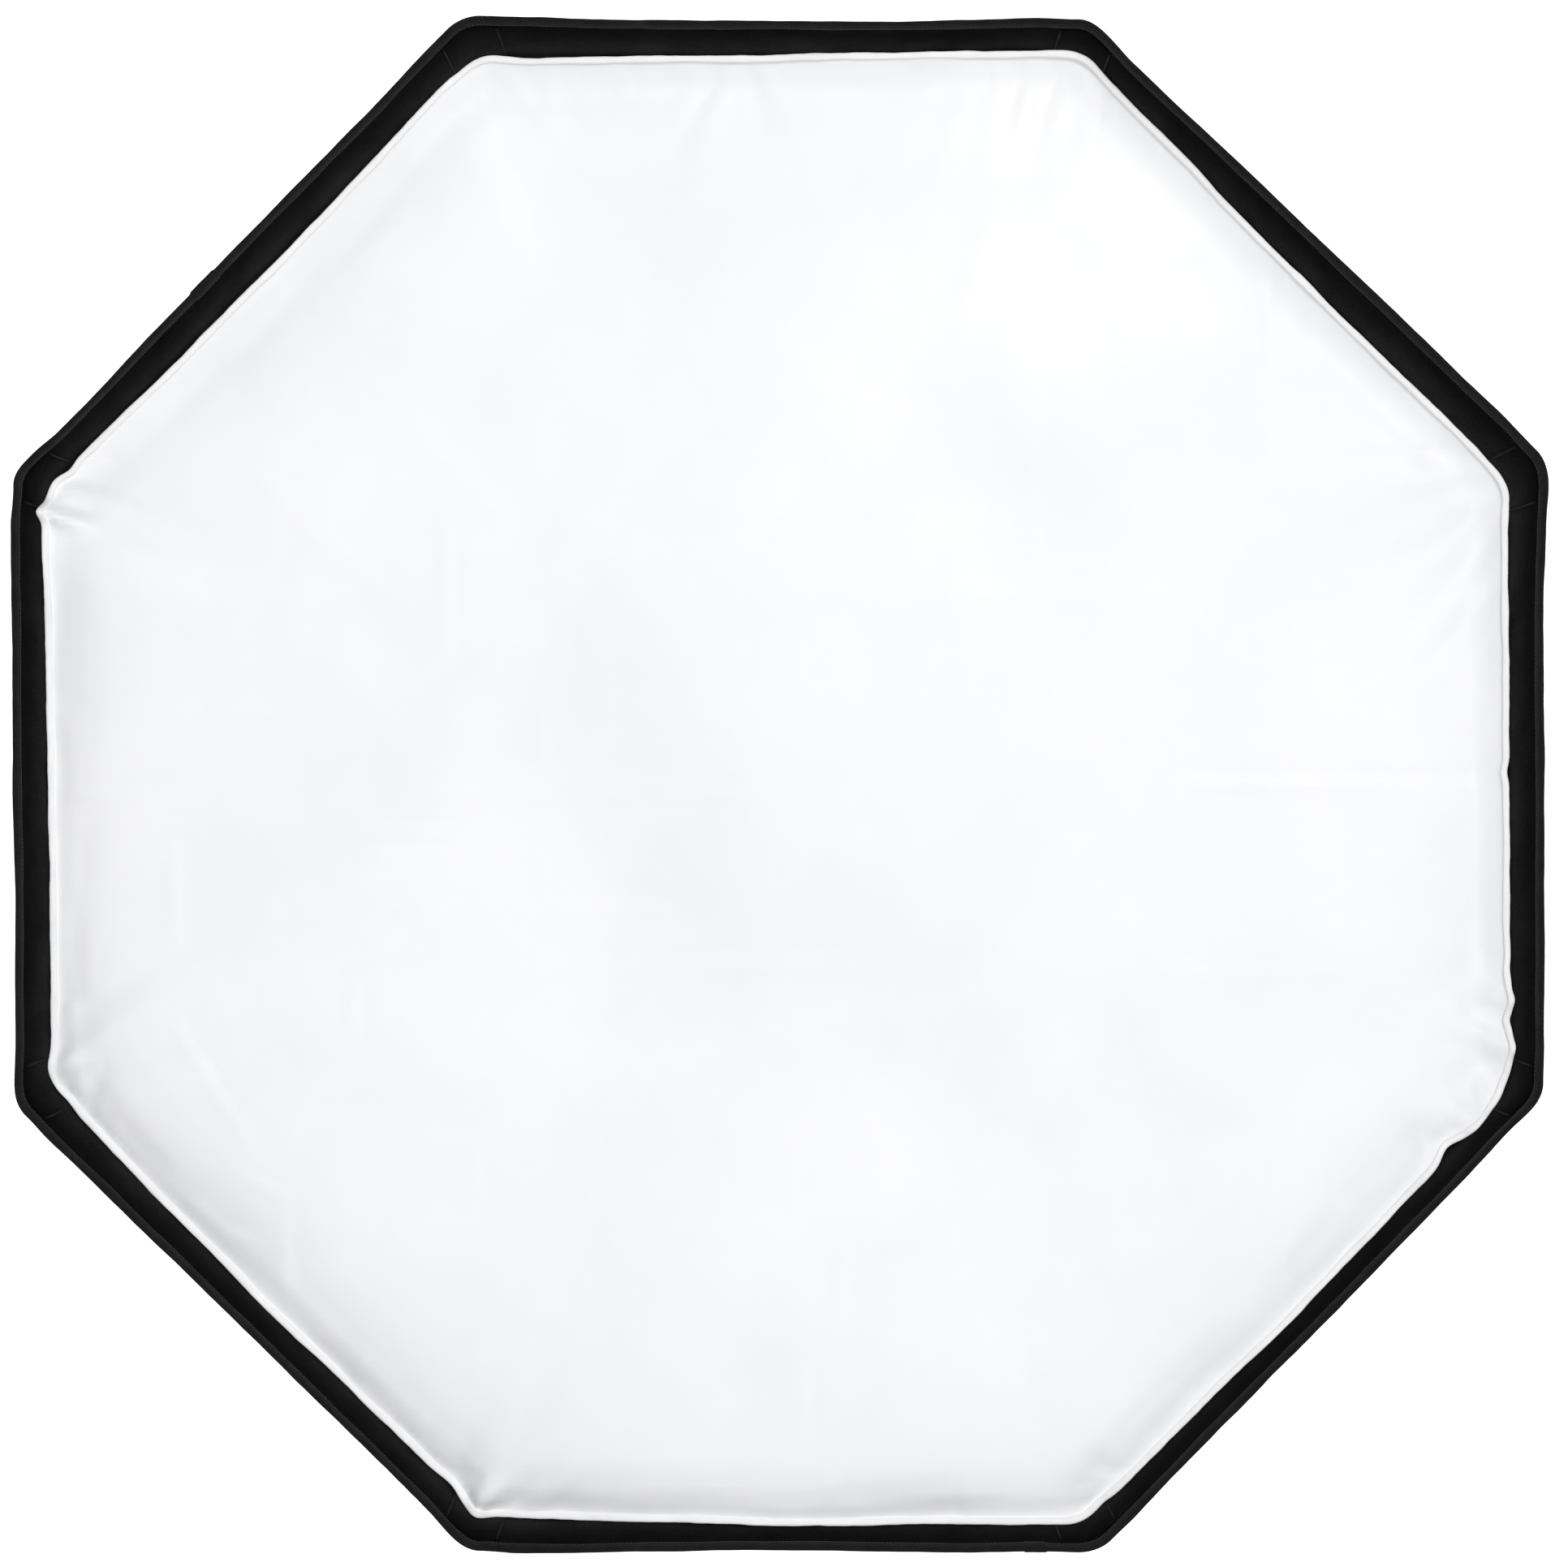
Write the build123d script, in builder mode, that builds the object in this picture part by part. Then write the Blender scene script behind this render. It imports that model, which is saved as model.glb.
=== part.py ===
"""Octagonal studio softbox, 1.2 m across the flats, on a rotating speed ring with a three-lug bayonet.

Frame: millimetres, +Z up, the front faces -Y. The origin is the centre of the bayonet insert's rear
seat face. A piece's depth is its distance in front of that face, so y = -depth. Rib angles and flat
angles are measured in the XZ plane from +X towards +Z. An octagon's size is given by its apothem, the
distance from the axis to the middle of a flat.
"""

from math import atan2, cos, degrees, hypot, radians, sin, tan
import os

from build123d import *

# ---------------------------------------------------------------- driving dimensions
SIDES = 8
STEP = 360 / SIDES
HALF_STEP = STEP / 2
APOTHEM_OF_VERTEX = cos(radians(HALF_STEP))

HEM_APOTHEM = 600.0  # outermost face of the bound front edge
SEAM_DEPTH = 450.0  # where the cover panels meet the lip
LIP_LENGTH = 64.0  # the lip's length along the axis
SEAM_APOTHEM = 575.5  # the lip's outer face at the seam
CORNER_RADIUS = 33.0  # outer corner of the lip

COVER_THICKNESS = 1.2
LINER_THICKNESS = 0.6
LIP_THICKNESS = 1.3
LINING_THICKNESS = 1.1
BINDING_THICKNESS = 1.2
BINDING_LENGTH = 11.0

ROD_RADIUS = 3.25
ROD_ANGLE = 68.0  # a socket's angle from the softbox's axis
ROD_ROOT = (80.0, 37.0)  # a point of the socket's axis: radius, depth
ROD_STRAIGHT = 56.0  # straight stretch measured from ROD_ROOT
ROD_END = (602.5, 437.0)
ROD_TO_VERTEX = 7.5  # rod's centreline to the cover's inner corner line

RING_RADIUS = 92.0
RING_BACK, RING_FRONT = 4.0, 28.0
INSERT_RADIUS = 73.0
RUNNING_GAP = 0.08
THROAT_RADIUS = 49.0
THROAT_LENGTH = 8.0
KNOB_DEPTH = 8.1
KNOB_ANGLES = (45, 135, 225, 315)

BAFFLE_APOTHEM = 330.0
BAFFLE_DEPTH = 300.0
BAFFLE_CORNER = 24.0

FABRIC_GAP = 0.3
RIB_ANGLES = [HALF_STEP + STEP * k for k in range(SIDES)]
FLAT_ANGLES = [STEP * k for k in range(SIDES)]

os.makedirs("parts", exist_ok=True)


# ---------------------------------------------------------------- planes and outlines
def radial_plane(angle):
    """Half plane through the axis: local x is the radius, local y is row +Y, so depth is -y."""
    a = radians(angle)
    return Plane(origin=(0, 0, 0), x_dir=(cos(a), 0, sin(a)), z_dir=(-sin(a), 0, cos(a)))


def front_plane(depth):
    """Plane across the axis at a depth, facing the front: local x is row X, local y is row Z."""
    return Plane.XZ.offset(depth)


def octagon(apothem, corner, mode=Mode.ADD):
    """Octagon with flats at 0, 45, 90 degrees, its corners rounded, in the current sketch."""
    with BuildSketch(mode=Mode.PRIVATE) as outline:
        RegularPolygon(apothem, SIDES, major_radius=False, rotation=HALF_STEP)
        fillet(outline.vertices(), corner)
    add(outline.sketch, mode=mode)


def profile(points):
    """Closed polygon of (radius, depth) points, in the current sketch."""
    Polygon(*[(r, -d) for r, d in points], align=None)


def polar(radius, angle):
    return (radius * cos(radians(angle)), radius * sin(radians(angle)))


def disc(radius, start, end, x=0.0, z=0.0):
    """Cylinder along the axis between two depths."""
    with BuildPart(mode=Mode.PRIVATE) as cylinder:
        with BuildSketch(front_plane(start)):
            with Locations((x, z)):
                Circle(radius)
        extrude(amount=end - start)
    return cylinder.part


def save(part, name):
    part.label = name
    export_step(part, f"parts/{name}.step")


def save_group(parts, name):
    save(Compound(children=list(parts)), name)


# ---------------------------------------------------------------- the rod's line in its rib plane
def along(angle):
    """Unit (radius, depth) direction at an angle from the axis."""
    return (sin(radians(angle)), cos(radians(angle)))


def moved(point, direction, length):
    return (point[0] + direction[0] * length, point[1] + direction[1] * length)


ROD_DIRECTION = along(ROD_ANGLE)
ARC_START = moved(ROD_ROOT, ROD_DIRECTION, ROD_STRAIGHT)
INWARD = (-ROD_DIRECTION[1], ROD_DIRECTION[0])
CHORD = (ROD_END[0] - ARC_START[0], ROD_END[1] - ARC_START[1])
BEND_RADIUS = hypot(*CHORD) ** 2 / (2 * (CHORD[0] * INWARD[0] + CHORD[1] * INWARD[1]))
BEND_CENTRE = moved(ARC_START, INWARD, BEND_RADIUS)
BEND_TURN = 2 * (ROD_ANGLE - degrees(atan2(CHORD[0], CHORD[1])))


def rod_point(share, outward=0.0):
    """Point of the rod's arc at a share of its turn, moved outward from the bend's centre."""
    angle = ROD_ANGLE - BEND_TURN * share
    return moved(BEND_CENTRE, (cos(radians(angle)), -sin(radians(angle))), BEND_RADIUS + outward)


def rod_tangent(share):
    return along(ROD_ANGLE - BEND_TURN * share)


def rod_share_at(depth):
    """Share of the arc's turn where the rod reaches a depth."""
    low, high = 0.0, 1.0
    for _ in range(40):
        middle = (low + high) / 2
        if rod_point(middle)[1] < depth:
            low = middle
        else:
            high = middle
    return low


# ---------------------------------------------------------------- the wall's line in a flat's mid plane
def flattened(point):
    """The middle of a flat beside a corner point."""
    return (point[0] * APOTHEM_OF_VERTEX, point[1])


def circle_through(a, b, c):
    """Centre of the circle through three points."""
    d = 2 * (a[0] * (b[1] - c[1]) + b[0] * (c[1] - a[1]) + c[0] * (a[1] - b[1]))
    sa, sb, sc = (p[0] ** 2 + p[1] ** 2 for p in (a, b, c))
    x = (sa * (b[1] - c[1]) + sb * (c[1] - a[1]) + sc * (a[1] - b[1])) / d
    y = (sa * (c[0] - b[0]) + sb * (a[0] - c[0]) + sc * (b[0] - a[0])) / d
    return (x, y)


WALL_REAR_RADIUS = 95.6
WALL_ARC = [flattened(rod_point(share, ROD_TO_VERTEX)) for share in (0.0, 0.5, 1.0)]
WALL_CENTRE = circle_through(*WALL_ARC)
WALL_RISE = 1 / tan(radians(ROD_ANGLE)) / APOTHEM_OF_VERTEX


def wall_points(outward, rear_radius=WALL_REAR_RADIUS):
    """Rear end, arc start, middle and end, and front end of the wall's line, moved outward."""
    rear = (rear_radius, WALL_ARC[0][1] - (WALL_ARC[0][0] - rear_radius) * WALL_RISE)
    arc = []
    for p in WALL_ARC:
        away = (p[0] - WALL_CENTRE[0], p[1] - WALL_CENTRE[1])
        size = hypot(*away)
        arc.append(moved(p, (away[0] / size, away[1] / size), outward))
    chord = (WALL_ARC[0][0] - rear[0], WALL_ARC[0][1] - rear[1])
    size = hypot(*chord)
    start = moved(rear, (chord[1] / size, -chord[0] / size), outward)
    away = (arc[2][0] - WALL_CENTRE[0], arc[2][1] - WALL_CENTRE[1])
    slope = -away[1] / away[0]
    end = (arc[2][0] + (SEAM_DEPTH - arc[2][1]) * slope, SEAM_DEPTH)
    return [start, *arc, end]


def wall_slab(angle, half_width, inner, outer, rear_radius=WALL_REAR_RADIUS, scale=1.0):
    """Slab between two offsets of the wall's line, drawn in a radial plane. scale widens the radius."""
    a = [(p[0] * scale, -p[1]) for p in wall_points(inner, rear_radius)]
    b = [(p[0] * scale, -p[1]) for p in wall_points(outer, rear_radius)]
    with BuildPart(mode=Mode.PRIVATE) as slab:
        with BuildSketch(radial_plane(angle)):
            with BuildLine():
                Line(a[0], a[1])
                ThreePointArc(a[1], a[2], a[3])
                Line(a[3], a[4])
                Line(a[4], b[4])
                Line(b[4], b[3])
                ThreePointArc(b[3], b[2], b[1])
                Line(b[1], b[0])
                Line(b[0], a[0])
            make_face()
        extrude(amount=half_width, both=True)
    return slab.part


# ---------------------------------------------------------------- the lip's faces
LIP_SLOPE = (HEM_APOTHEM - BINDING_THICKNESS - SEAM_APOTHEM) / LIP_LENGTH
HEM_DEPTH = SEAM_DEPTH + LIP_LENGTH


def lip_apothem(depth, inset):
    """Apothem of a surface inset from the lip's outer face, at a depth."""
    return SEAM_APOTHEM + (depth - SEAM_DEPTH) * LIP_SLOPE - inset


LINING_INSET = LIP_THICKNESS + LINING_THICKNESS


def flared_solid(inset, start, end):
    """Frustum of the lip's octagon between two depths. The corners keep a common centre line."""
    with BuildPart(mode=Mode.PRIVATE) as frustum:
        for depth in (start, end):
            with BuildSketch(front_plane(depth)):
                octagon(lip_apothem(depth, inset), CORNER_RADIUS - inset)
        loft(ruled=True)
    return frustum.part


def flared_band(outer_inset, inner_inset, start, end):
    """Closed band around the lip, between two insets from the lip's outer face."""
    with BuildPart(mode=Mode.PRIVATE) as band:
        add(flared_solid(outer_inset, start, end))
        add(flared_solid(inner_inset, start, end), mode=Mode.SUBTRACT)
    return band.part


def sector(part, angle, half_width=HALF_STEP):
    """The stretch of a part between two half planes about an angle."""
    with BuildPart(mode=Mode.PRIVATE) as wedge:
        add(part)
        split(bisect_by=radial_plane(angle - half_width), keep=Keep.TOP)
        split(bisect_by=radial_plane(angle + half_width), keep=Keep.BOTTOM)
    return wedge.part


# ---------------------------------------------------------------- bayonet insert
SEAT_RADIUS = 66.0
COLLAR_OUTER, COLLAR_INNER = 58.5, 53.0
COLLAR_HEIGHT = 9.0
LUG_RADIUS, LUG_THICKNESS, LUG_SWEEP = 64.5, 2.5, 36.0
LUG_SCREW_RADIUS = (COLLAR_INNER + COLLAR_OUTER) / 2
LUG_SCREW_HALF_ANGLE = 11.0
LUG_ANGLES = (90, 210, 330)
LUG_SCREW_SHANK, LUG_SCREW_HOLE, LUG_SCREW_DEPTH = 1.5, 1.55, 6.0
DISH_FLOOR = 2.5
SKIRT = 2.5
RIM_BACK, RIM_FRONT = 4.2, 12.0


def lug_screw_places(lug_angle):
    """Centres of a lug's two screws."""
    return [polar(LUG_SCREW_RADIUS, lug_angle + side * LUG_SCREW_HALF_ANGLE) for side in (-1, 1)]


def button_head(radius, height, depth, x, z):
    """Screw head standing forward of a depth, rounded, with a hex socket."""
    with BuildPart(mode=Mode.PRIVATE) as head:
        add(disc(radius, depth, depth + height, x, z))
        fillet(head.edges().group_by(Axis.Y)[0], height * 0.4)
        with BuildSketch(front_plane(depth + height)):
            with Locations((x, z)):
                RegularPolygon(radius * 0.42, 6)
        extrude(amount=-height * 0.6, mode=Mode.SUBTRACT)
    return head.part


with BuildPart() as bayonet_insert:
    with BuildSketch():
        profile(
            [
                (THROAT_RADIUS, 0),
                (SEAT_RADIUS, 0),
                (SEAT_RADIUS, RIM_BACK),
                (INSERT_RADIUS, RIM_BACK),
                (INSERT_RADIUS, RIM_FRONT),
                (INSERT_RADIUS - SKIRT, RIM_FRONT),
                (INSERT_RADIUS - SKIRT, RIM_BACK + SKIRT),
                (SEAT_RADIUS - SKIRT, RIM_BACK + SKIRT),
                (SEAT_RADIUS - SKIRT, DISH_FLOOR),
                (THROAT_RADIUS + SKIRT, DISH_FLOOR),
                (THROAT_RADIUS + SKIRT, THROAT_LENGTH),
                (THROAT_RADIUS, THROAT_LENGTH),
            ]
        )
    revolve(axis=Axis.Y)
    for angle in LUG_ANGLES:
        for x, z in lug_screw_places(angle):
            add(disc(LUG_SCREW_HOLE, 0, DISH_FLOOR, x, z), mode=Mode.SUBTRACT)
save(bayonet_insert.part, "bayonet_insert")

lugs, lug_screws = [], []
for lug_angle in LUG_ANGLES:
    places = lug_screw_places(lug_angle)
    with BuildPart() as lug:
        with BuildSketch(radial_plane(lug_angle - LUG_SWEEP / 2)):
            profile(
                [
                    (COLLAR_INNER, 0),
                    (COLLAR_INNER, -COLLAR_HEIGHT),
                    (LUG_RADIUS, -COLLAR_HEIGHT),
                    (LUG_RADIUS, -COLLAR_HEIGHT + LUG_THICKNESS),
                    (COLLAR_OUTER, -COLLAR_HEIGHT + LUG_THICKNESS),
                    (COLLAR_OUTER, 0),
                ]
            )
        revolve(axis=Axis.Y, revolution_arc=-LUG_SWEEP)
        for x, z in places:
            add(disc(LUG_SCREW_HOLE, -LUG_SCREW_DEPTH - 0.5, 0, x, z), mode=Mode.SUBTRACT)
    lugs.append(lug.part)
    for x, z in places:
        with BuildPart() as lug_screw:
            add(disc(LUG_SCREW_SHANK, -LUG_SCREW_DEPTH, DISH_FLOOR, x, z))
            add(button_head(2.75, 2.0, DISH_FLOOR, x, z))
        lug_screws.append(lug_screw.part)
save_group(lugs, "bayonet_lugs")
save_group(lug_screws, "lug_screws")

# ---------------------------------------------------------------- speed ring
RING_BORE = 67.0
KNOB_HOLE = 3.06
RETAINER_BACK = 2.0
RETAINER_SCREW_RADIUS = 80.0
RETAINER_SCREW_HOLE = 1.95
RETAINER_SCREW_ANGLES = [60 * k for k in range(6)]
FOOT_DEPTH = 5.0
FOOT_SCREW_RADIUS = 81.5
FOOT_SCREW_HALF_ANGLE = 8.8
FOOT_SCREW_LENGTH = 12.0

FOOT_SCREW_ANGLES = [rib + side * FOOT_SCREW_HALF_ANGLE for rib in RIB_ANGLES for side in (-1, 1)]


def knob_plane(angle, radius):
    """Plane across a lock knob's screw at a radius, facing outward."""
    side = radial_plane(angle)
    centre = side.from_local_coords((radius, -KNOB_DEPTH, 0))
    return Plane(origin=centre, x_dir=side.z_dir, z_dir=side.x_dir)


with BuildPart() as speed_ring:
    with BuildSketch():
        profile(
            [
                (INSERT_RADIUS + RUNNING_GAP, RING_BACK),
                (RING_RADIUS, RING_BACK),
                (RING_RADIUS, RING_FRONT),
                (RING_BORE, RING_FRONT),
                (RING_BORE, RIM_FRONT + 0.2),
                (INSERT_RADIUS + RUNNING_GAP, RIM_FRONT + 0.2),
            ]
        )
    revolve(axis=Axis.Y)
    outer_edges = speed_ring.edges().filter_by(GeomType.CIRCLE).sort_by(SortBy.RADIUS)[-2:]
    chamfer(outer_edges, 1.2)
    for angle in KNOB_ANGLES:
        with BuildSketch(knob_plane(angle, RING_BORE)):
            Circle(KNOB_HOLE)
        extrude(amount=RING_RADIUS, mode=Mode.SUBTRACT)
    for angle in RETAINER_SCREW_ANGLES:
        place = polar(RETAINER_SCREW_RADIUS, angle)
        add(disc(RETAINER_SCREW_HOLE, RING_BACK, RING_BACK + 10, *place), mode=Mode.SUBTRACT)
    for angle in FOOT_SCREW_ANGLES:
        start = RING_FRONT - FOOT_SCREW_LENGTH
        add(disc(2.05, start, RING_FRONT, *polar(FOOT_SCREW_RADIUS, angle)), mode=Mode.SUBTRACT)
save(speed_ring.part, "speed_ring")

with BuildPart() as retaining_ring:
    with BuildSketch(front_plane(RETAINER_BACK)):
        Circle(RING_RADIUS - 4)
        Circle(SEAT_RADIUS + 0.6, mode=Mode.SUBTRACT)
    extrude(amount=RING_BACK - RETAINER_BACK)
    for angle in RETAINER_SCREW_ANGLES:
        place = polar(RETAINER_SCREW_RADIUS, angle)
        add(disc(3.6, RETAINER_BACK, RETAINER_BACK + 1.2, *place), mode=Mode.SUBTRACT)
        add(disc(RETAINER_SCREW_HOLE, RETAINER_BACK, RING_BACK, *place), mode=Mode.SUBTRACT)
save(retaining_ring.part, "retaining_ring")

retaining_screws = []
for angle in RETAINER_SCREW_ANGLES:
    x, z = polar(RETAINER_SCREW_RADIUS, angle)
    with BuildPart() as retaining_screw:
        add(disc(3.4, RETAINER_BACK, RETAINER_BACK + 1.2, x, z))
        add(disc(1.9, RETAINER_BACK + 1.2, RING_BACK + 9.5, x, z))
        with BuildSketch(front_plane(RETAINER_BACK)):
            with Locations((x, z)):
                Rectangle(4.4, 0.9)
                Rectangle(0.9, 4.4)
        extrude(amount=0.8, mode=Mode.SUBTRACT)
    retaining_screws.append(retaining_screw.part)
save_group(retaining_screws, "retaining_screws")

# ---------------------------------------------------------------- rod sockets, ferrules, rods and tips
SOCKET_RADIUS = 6.0
SOCKET_BORE = 3.6
SOCKET_START, SOCKET_END = -9.0, 34.0
SOCKET_BORE_START = 2.0
FERRULE_RADIUS, FERRULE_BORE = 3.52, 3.3
FERRULE_START, FERRULE_END = 3.0, 52.0
ROD_START = 4.0
FOOT_INNER, FOOT_OUTER, FOOT_HALF_WIDTH = 70.0, 89.0, 18.0
CAP_RADIUS, CAP_LENGTH, CAP_BORE_LENGTH = 4.75, 16.0, 10.0
POCKET_RADIUS, POCKET_BORE, POCKET_LENGTH = 5.9, 4.9, 28.0


def across_rod(rib, point, tangent):
    """Plane across a rod at a (radius, depth) point, facing along a (radius, depth) tangent."""
    base = radial_plane(rib)
    a = radians(rib)
    direction = (tangent[0] * cos(a), -tangent[1], tangent[0] * sin(a))
    return Plane(origin=base.from_local_coords((point[0], -point[1], 0)), x_dir=base.z_dir, z_dir=direction)


def rod_frame(rib, length):
    """Plane across a rod's straight stretch, at a length from ROD_ROOT."""
    return across_rod(rib, moved(ROD_ROOT, ROD_DIRECTION, length), ROD_DIRECTION)


def tip_frame(rib, length):
    """Plane across a rod's end, at a length beyond it."""
    tangent = rod_tangent(1.0)
    return across_rod(rib, moved(ROD_END, tangent, length), tangent)


sockets, socket_screws, ferrules, caps, pockets = [], [], [], [], []
for number, rib in enumerate(RIB_ANGLES, start=1):
    with BuildPart() as socket:
        with BuildSketch(rod_frame(rib, SOCKET_START)):
            Circle(SOCKET_RADIUS)
        extrude(amount=SOCKET_END - SOCKET_START)
        chamfer(socket.edges().filter_by(GeomType.CIRCLE).sort_by(Axis.Y)[0], 0.8)
        with BuildSketch(radial_plane(rib)):
            profile(
                [
                    (FOOT_INNER, RING_FRONT),
                    (FOOT_OUTER, RING_FRONT),
                    (FOOT_OUTER, RING_FRONT + FOOT_DEPTH),
                    (FOOT_INNER, RING_FRONT + FOOT_DEPTH),
                ]
            )
        extrude(amount=FOOT_HALF_WIDTH, both=True)
        split(bisect_by=Plane.XZ.offset(RING_FRONT), keep=Keep.TOP)
        with BuildSketch(rod_frame(rib, SOCKET_BORE_START)):
            Circle(SOCKET_BORE)
        extrude(amount=SOCKET_END, mode=Mode.SUBTRACT)
        for side in (-1, 1):
            place = polar(FOOT_SCREW_RADIUS, rib + side * FOOT_SCREW_HALF_ANGLE)
            add(disc(2.05, RING_FRONT, RING_FRONT + FOOT_DEPTH, *place), mode=Mode.SUBTRACT)
    sockets.append(socket.part)

    for side in (-1, 1):
        x, z = polar(FOOT_SCREW_RADIUS, rib + side * FOOT_SCREW_HALF_ANGLE)
        head = RING_FRONT + FOOT_DEPTH
        with BuildPart() as socket_screw:
            add(disc(2.0, RING_FRONT - FOOT_SCREW_LENGTH + 0.5, head, x, z))
            add(button_head(3.5, 2.4, head, x, z))
        socket_screws.append(socket_screw.part)

    with BuildPart() as ferrule:
        with BuildSketch(rod_frame(rib, FERRULE_START)):
            Circle(FERRULE_RADIUS)
            Circle(FERRULE_BORE, mode=Mode.SUBTRACT)
        extrude(amount=FERRULE_END - FERRULE_START)
    ferrules.append(ferrule.part)

    with BuildPart() as rod:
        with BuildLine(radial_plane(rib)):
            points = [moved(ROD_ROOT, ROD_DIRECTION, ROD_START), ARC_START, rod_point(0.5), ROD_END]
            butt, start, middle, end = ((r, -d) for r, d in points)
            Line(butt, start)
            ThreePointArc(start, middle, end)
        with BuildSketch(rod_frame(rib, ROD_START)):
            Circle(ROD_RADIUS)
        sweep()
    save(rod.part, f"rod_{number}")

    with BuildPart() as cap:
        with BuildSketch(tip_frame(rib, -CAP_BORE_LENGTH)):
            Circle(CAP_RADIUS)
        extrude(amount=CAP_LENGTH)
        fillet(cap.edges().filter_by(GeomType.CIRCLE).sort_by(Axis.Y)[0], 4.0)
        with BuildSketch(tip_frame(rib, -CAP_BORE_LENGTH)):
            Circle(ROD_RADIUS + 0.1)
        extrude(amount=CAP_BORE_LENGTH + 0.1, mode=Mode.SUBTRACT)
    caps.append(cap.part)

    with BuildPart() as pocket:
        top = CAP_LENGTH - CAP_BORE_LENGTH + 1.2
        with BuildSketch(tip_frame(rib, top)):
            Circle(POCKET_RADIUS)
        extrude(amount=-POCKET_LENGTH)
        with BuildSketch(tip_frame(rib, top - 1.1)):
            Circle(POCKET_BORE)
        extrude(amount=-POCKET_LENGTH, mode=Mode.SUBTRACT)
    pockets.append(pocket.part)

save_group(sockets, "rod_sockets")
save_group(socket_screws, "socket_screws")
save_group(ferrules, "rod_ferrules")
save_group(caps, "rod_tip_caps")
save_group(pockets, "rod_tip_pockets")

# ---------------------------------------------------------------- cover, silver liner and seam bindings
PANEL_HALF_WIDTH = 300.0
LINER_REAR_RADIUS, LINER_FRONT = 103.0, 418.0
SEAM_BINDING_REAR_RADIUS = 122.0
BINDING_FIN = 1.6
liners, seam_bindings = [], []
for number, flat in enumerate(FLAT_ANGLES, start=1):
    save(sector(wall_slab(flat, PANEL_HALF_WIDTH, 0, COVER_THICKNESS), flat), f"cover_panel_{number}")
    liner_back = -FABRIC_GAP - LINER_THICKNESS
    whole = wall_slab(flat, PANEL_HALF_WIDTH, liner_back, -FABRIC_GAP, LINER_REAR_RADIUS)
    with BuildPart() as liner:
        add(sector(whole, flat))
        split(bisect_by=front_plane(LINER_FRONT), keep=Keep.BOTTOM)
    liners.append(liner.part)

SEAM_BINDING_BASE = COVER_THICKNESS + 0.6
for rib in RIB_ANGLES:
    top = SEAM_BINDING_BASE + BINDING_FIN
    rear = SEAM_BINDING_REAR_RADIUS
    with BuildPart() as binding:
        add(wall_slab(rib, 1.3, SEAM_BINDING_BASE, top, rear, 1 / APOTHEM_OF_VERTEX))
        split(bisect_by=front_plane(SEAM_DEPTH - 3), keep=Keep.BOTTOM)
    seam_bindings.append(binding.part)
save_group(liners, "silver_liner")
save_group(seam_bindings, "seam_bindings")

# ---------------------------------------------------------------- rear cuff and reinforcement
CUFF_RADIUS = RING_RADIUS + 0.2
CUFF_THICKNESS = 2.0
CUFF_BACK, CUFF_FRONT = 20.5, 33.2
COLLAR_EDGE = 130.0
COLLAR_THICKNESS = 1.2

with BuildPart() as elastic_cuff:
    with BuildSketch(front_plane(CUFF_BACK)):
        Circle(CUFF_RADIUS + CUFF_THICKNESS)
        Circle(CUFF_RADIUS, mode=Mode.SUBTRACT)
    extrude(amount=CUFF_FRONT - CUFF_BACK)
save(elastic_cuff.part, "elastic_cuff")

with BuildPart() as rear_collar:
    base = COVER_THICKNESS + FABRIC_GAP
    top = base + COLLAR_THICKNESS
    for flat in FLAT_ANGLES:
        add(sector(wall_slab(flat, PANEL_HALF_WIDTH, base, top, CUFF_RADIUS - 8), flat))
    add(disc(COLLAR_EDGE, 0, 80), mode=Mode.INTERSECT)
    add(disc(CUFF_RADIUS + CUFF_THICKNESS + 0.1, 0, 80), mode=Mode.SUBTRACT)
save(rear_collar.part, "rear_collar")

# ---------------------------------------------------------------- lip
lip_band = flared_band(0.0, LIP_THICKNESS, SEAM_DEPTH, HEM_DEPTH)
for number, flat in enumerate(FLAT_ANGLES, start=1):
    save(sector(lip_band, flat), f"lip_panel_{number}")

GUSSET_HALF_ANGLE = 1.0
lining_band = flared_band(LIP_THICKNESS, LINING_INSET, SEAM_DEPTH, HEM_DEPTH)
save_group([sector(lining_band, flat, HALF_STEP - GUSSET_HALF_ANGLE) for flat in FLAT_ANGLES], "lip_lining")
save_group([sector(lining_band, rib, GUSSET_HALF_ANGLE) for rib in RIB_ANGLES], "corner_gussets")

with BuildPart() as hem_binding:
    start = HEM_DEPTH - BINDING_LENGTH
    end = HEM_DEPTH + BINDING_THICKNESS
    add(flared_band(-BINDING_THICKNESS, LINING_INSET + BINDING_THICKNESS, start, end))
    add(flared_band(0.0, LINING_INSET, start, HEM_DEPTH), mode=Mode.SUBTRACT)
save(hem_binding.part, "hem_binding")

# ---------------------------------------------------------------- front diffuser, which peels off the lip
HOOK_INSET = LINING_INSET + 0.4
HOOK_THICKNESS = 1.2
BORDER_INSET = HOOK_INSET + HOOK_THICKNESS
BORDER_THICKNESS = 1.0
BORDER_END = SEAM_DEPTH + 15.0
PIPING_RADIUS = 2.0
SHEET_BACK, SHEET_FRONT = 449.4, 450.5

with BuildPart() as diffuser_sheet:
    with BuildSketch(front_plane(SHEET_BACK)):
        border_inner = BORDER_INSET + BORDER_THICKNESS
        octagon(lip_apothem(SHEET_BACK, border_inner), CORNER_RADIUS - border_inner)
    extrude(amount=SHEET_FRONT - SHEET_BACK)
save(diffuser_sheet.part, "diffuser_sheet")
save(flared_band(BORDER_INSET, BORDER_INSET + BORDER_THICKNESS, SHEET_BACK, BORDER_END), "diffuser_border")
save(flared_band(HOOK_INSET, BORDER_INSET, SEAM_DEPTH + 0.5, BORDER_END - 2), "diffuser_hook_tape")

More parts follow.
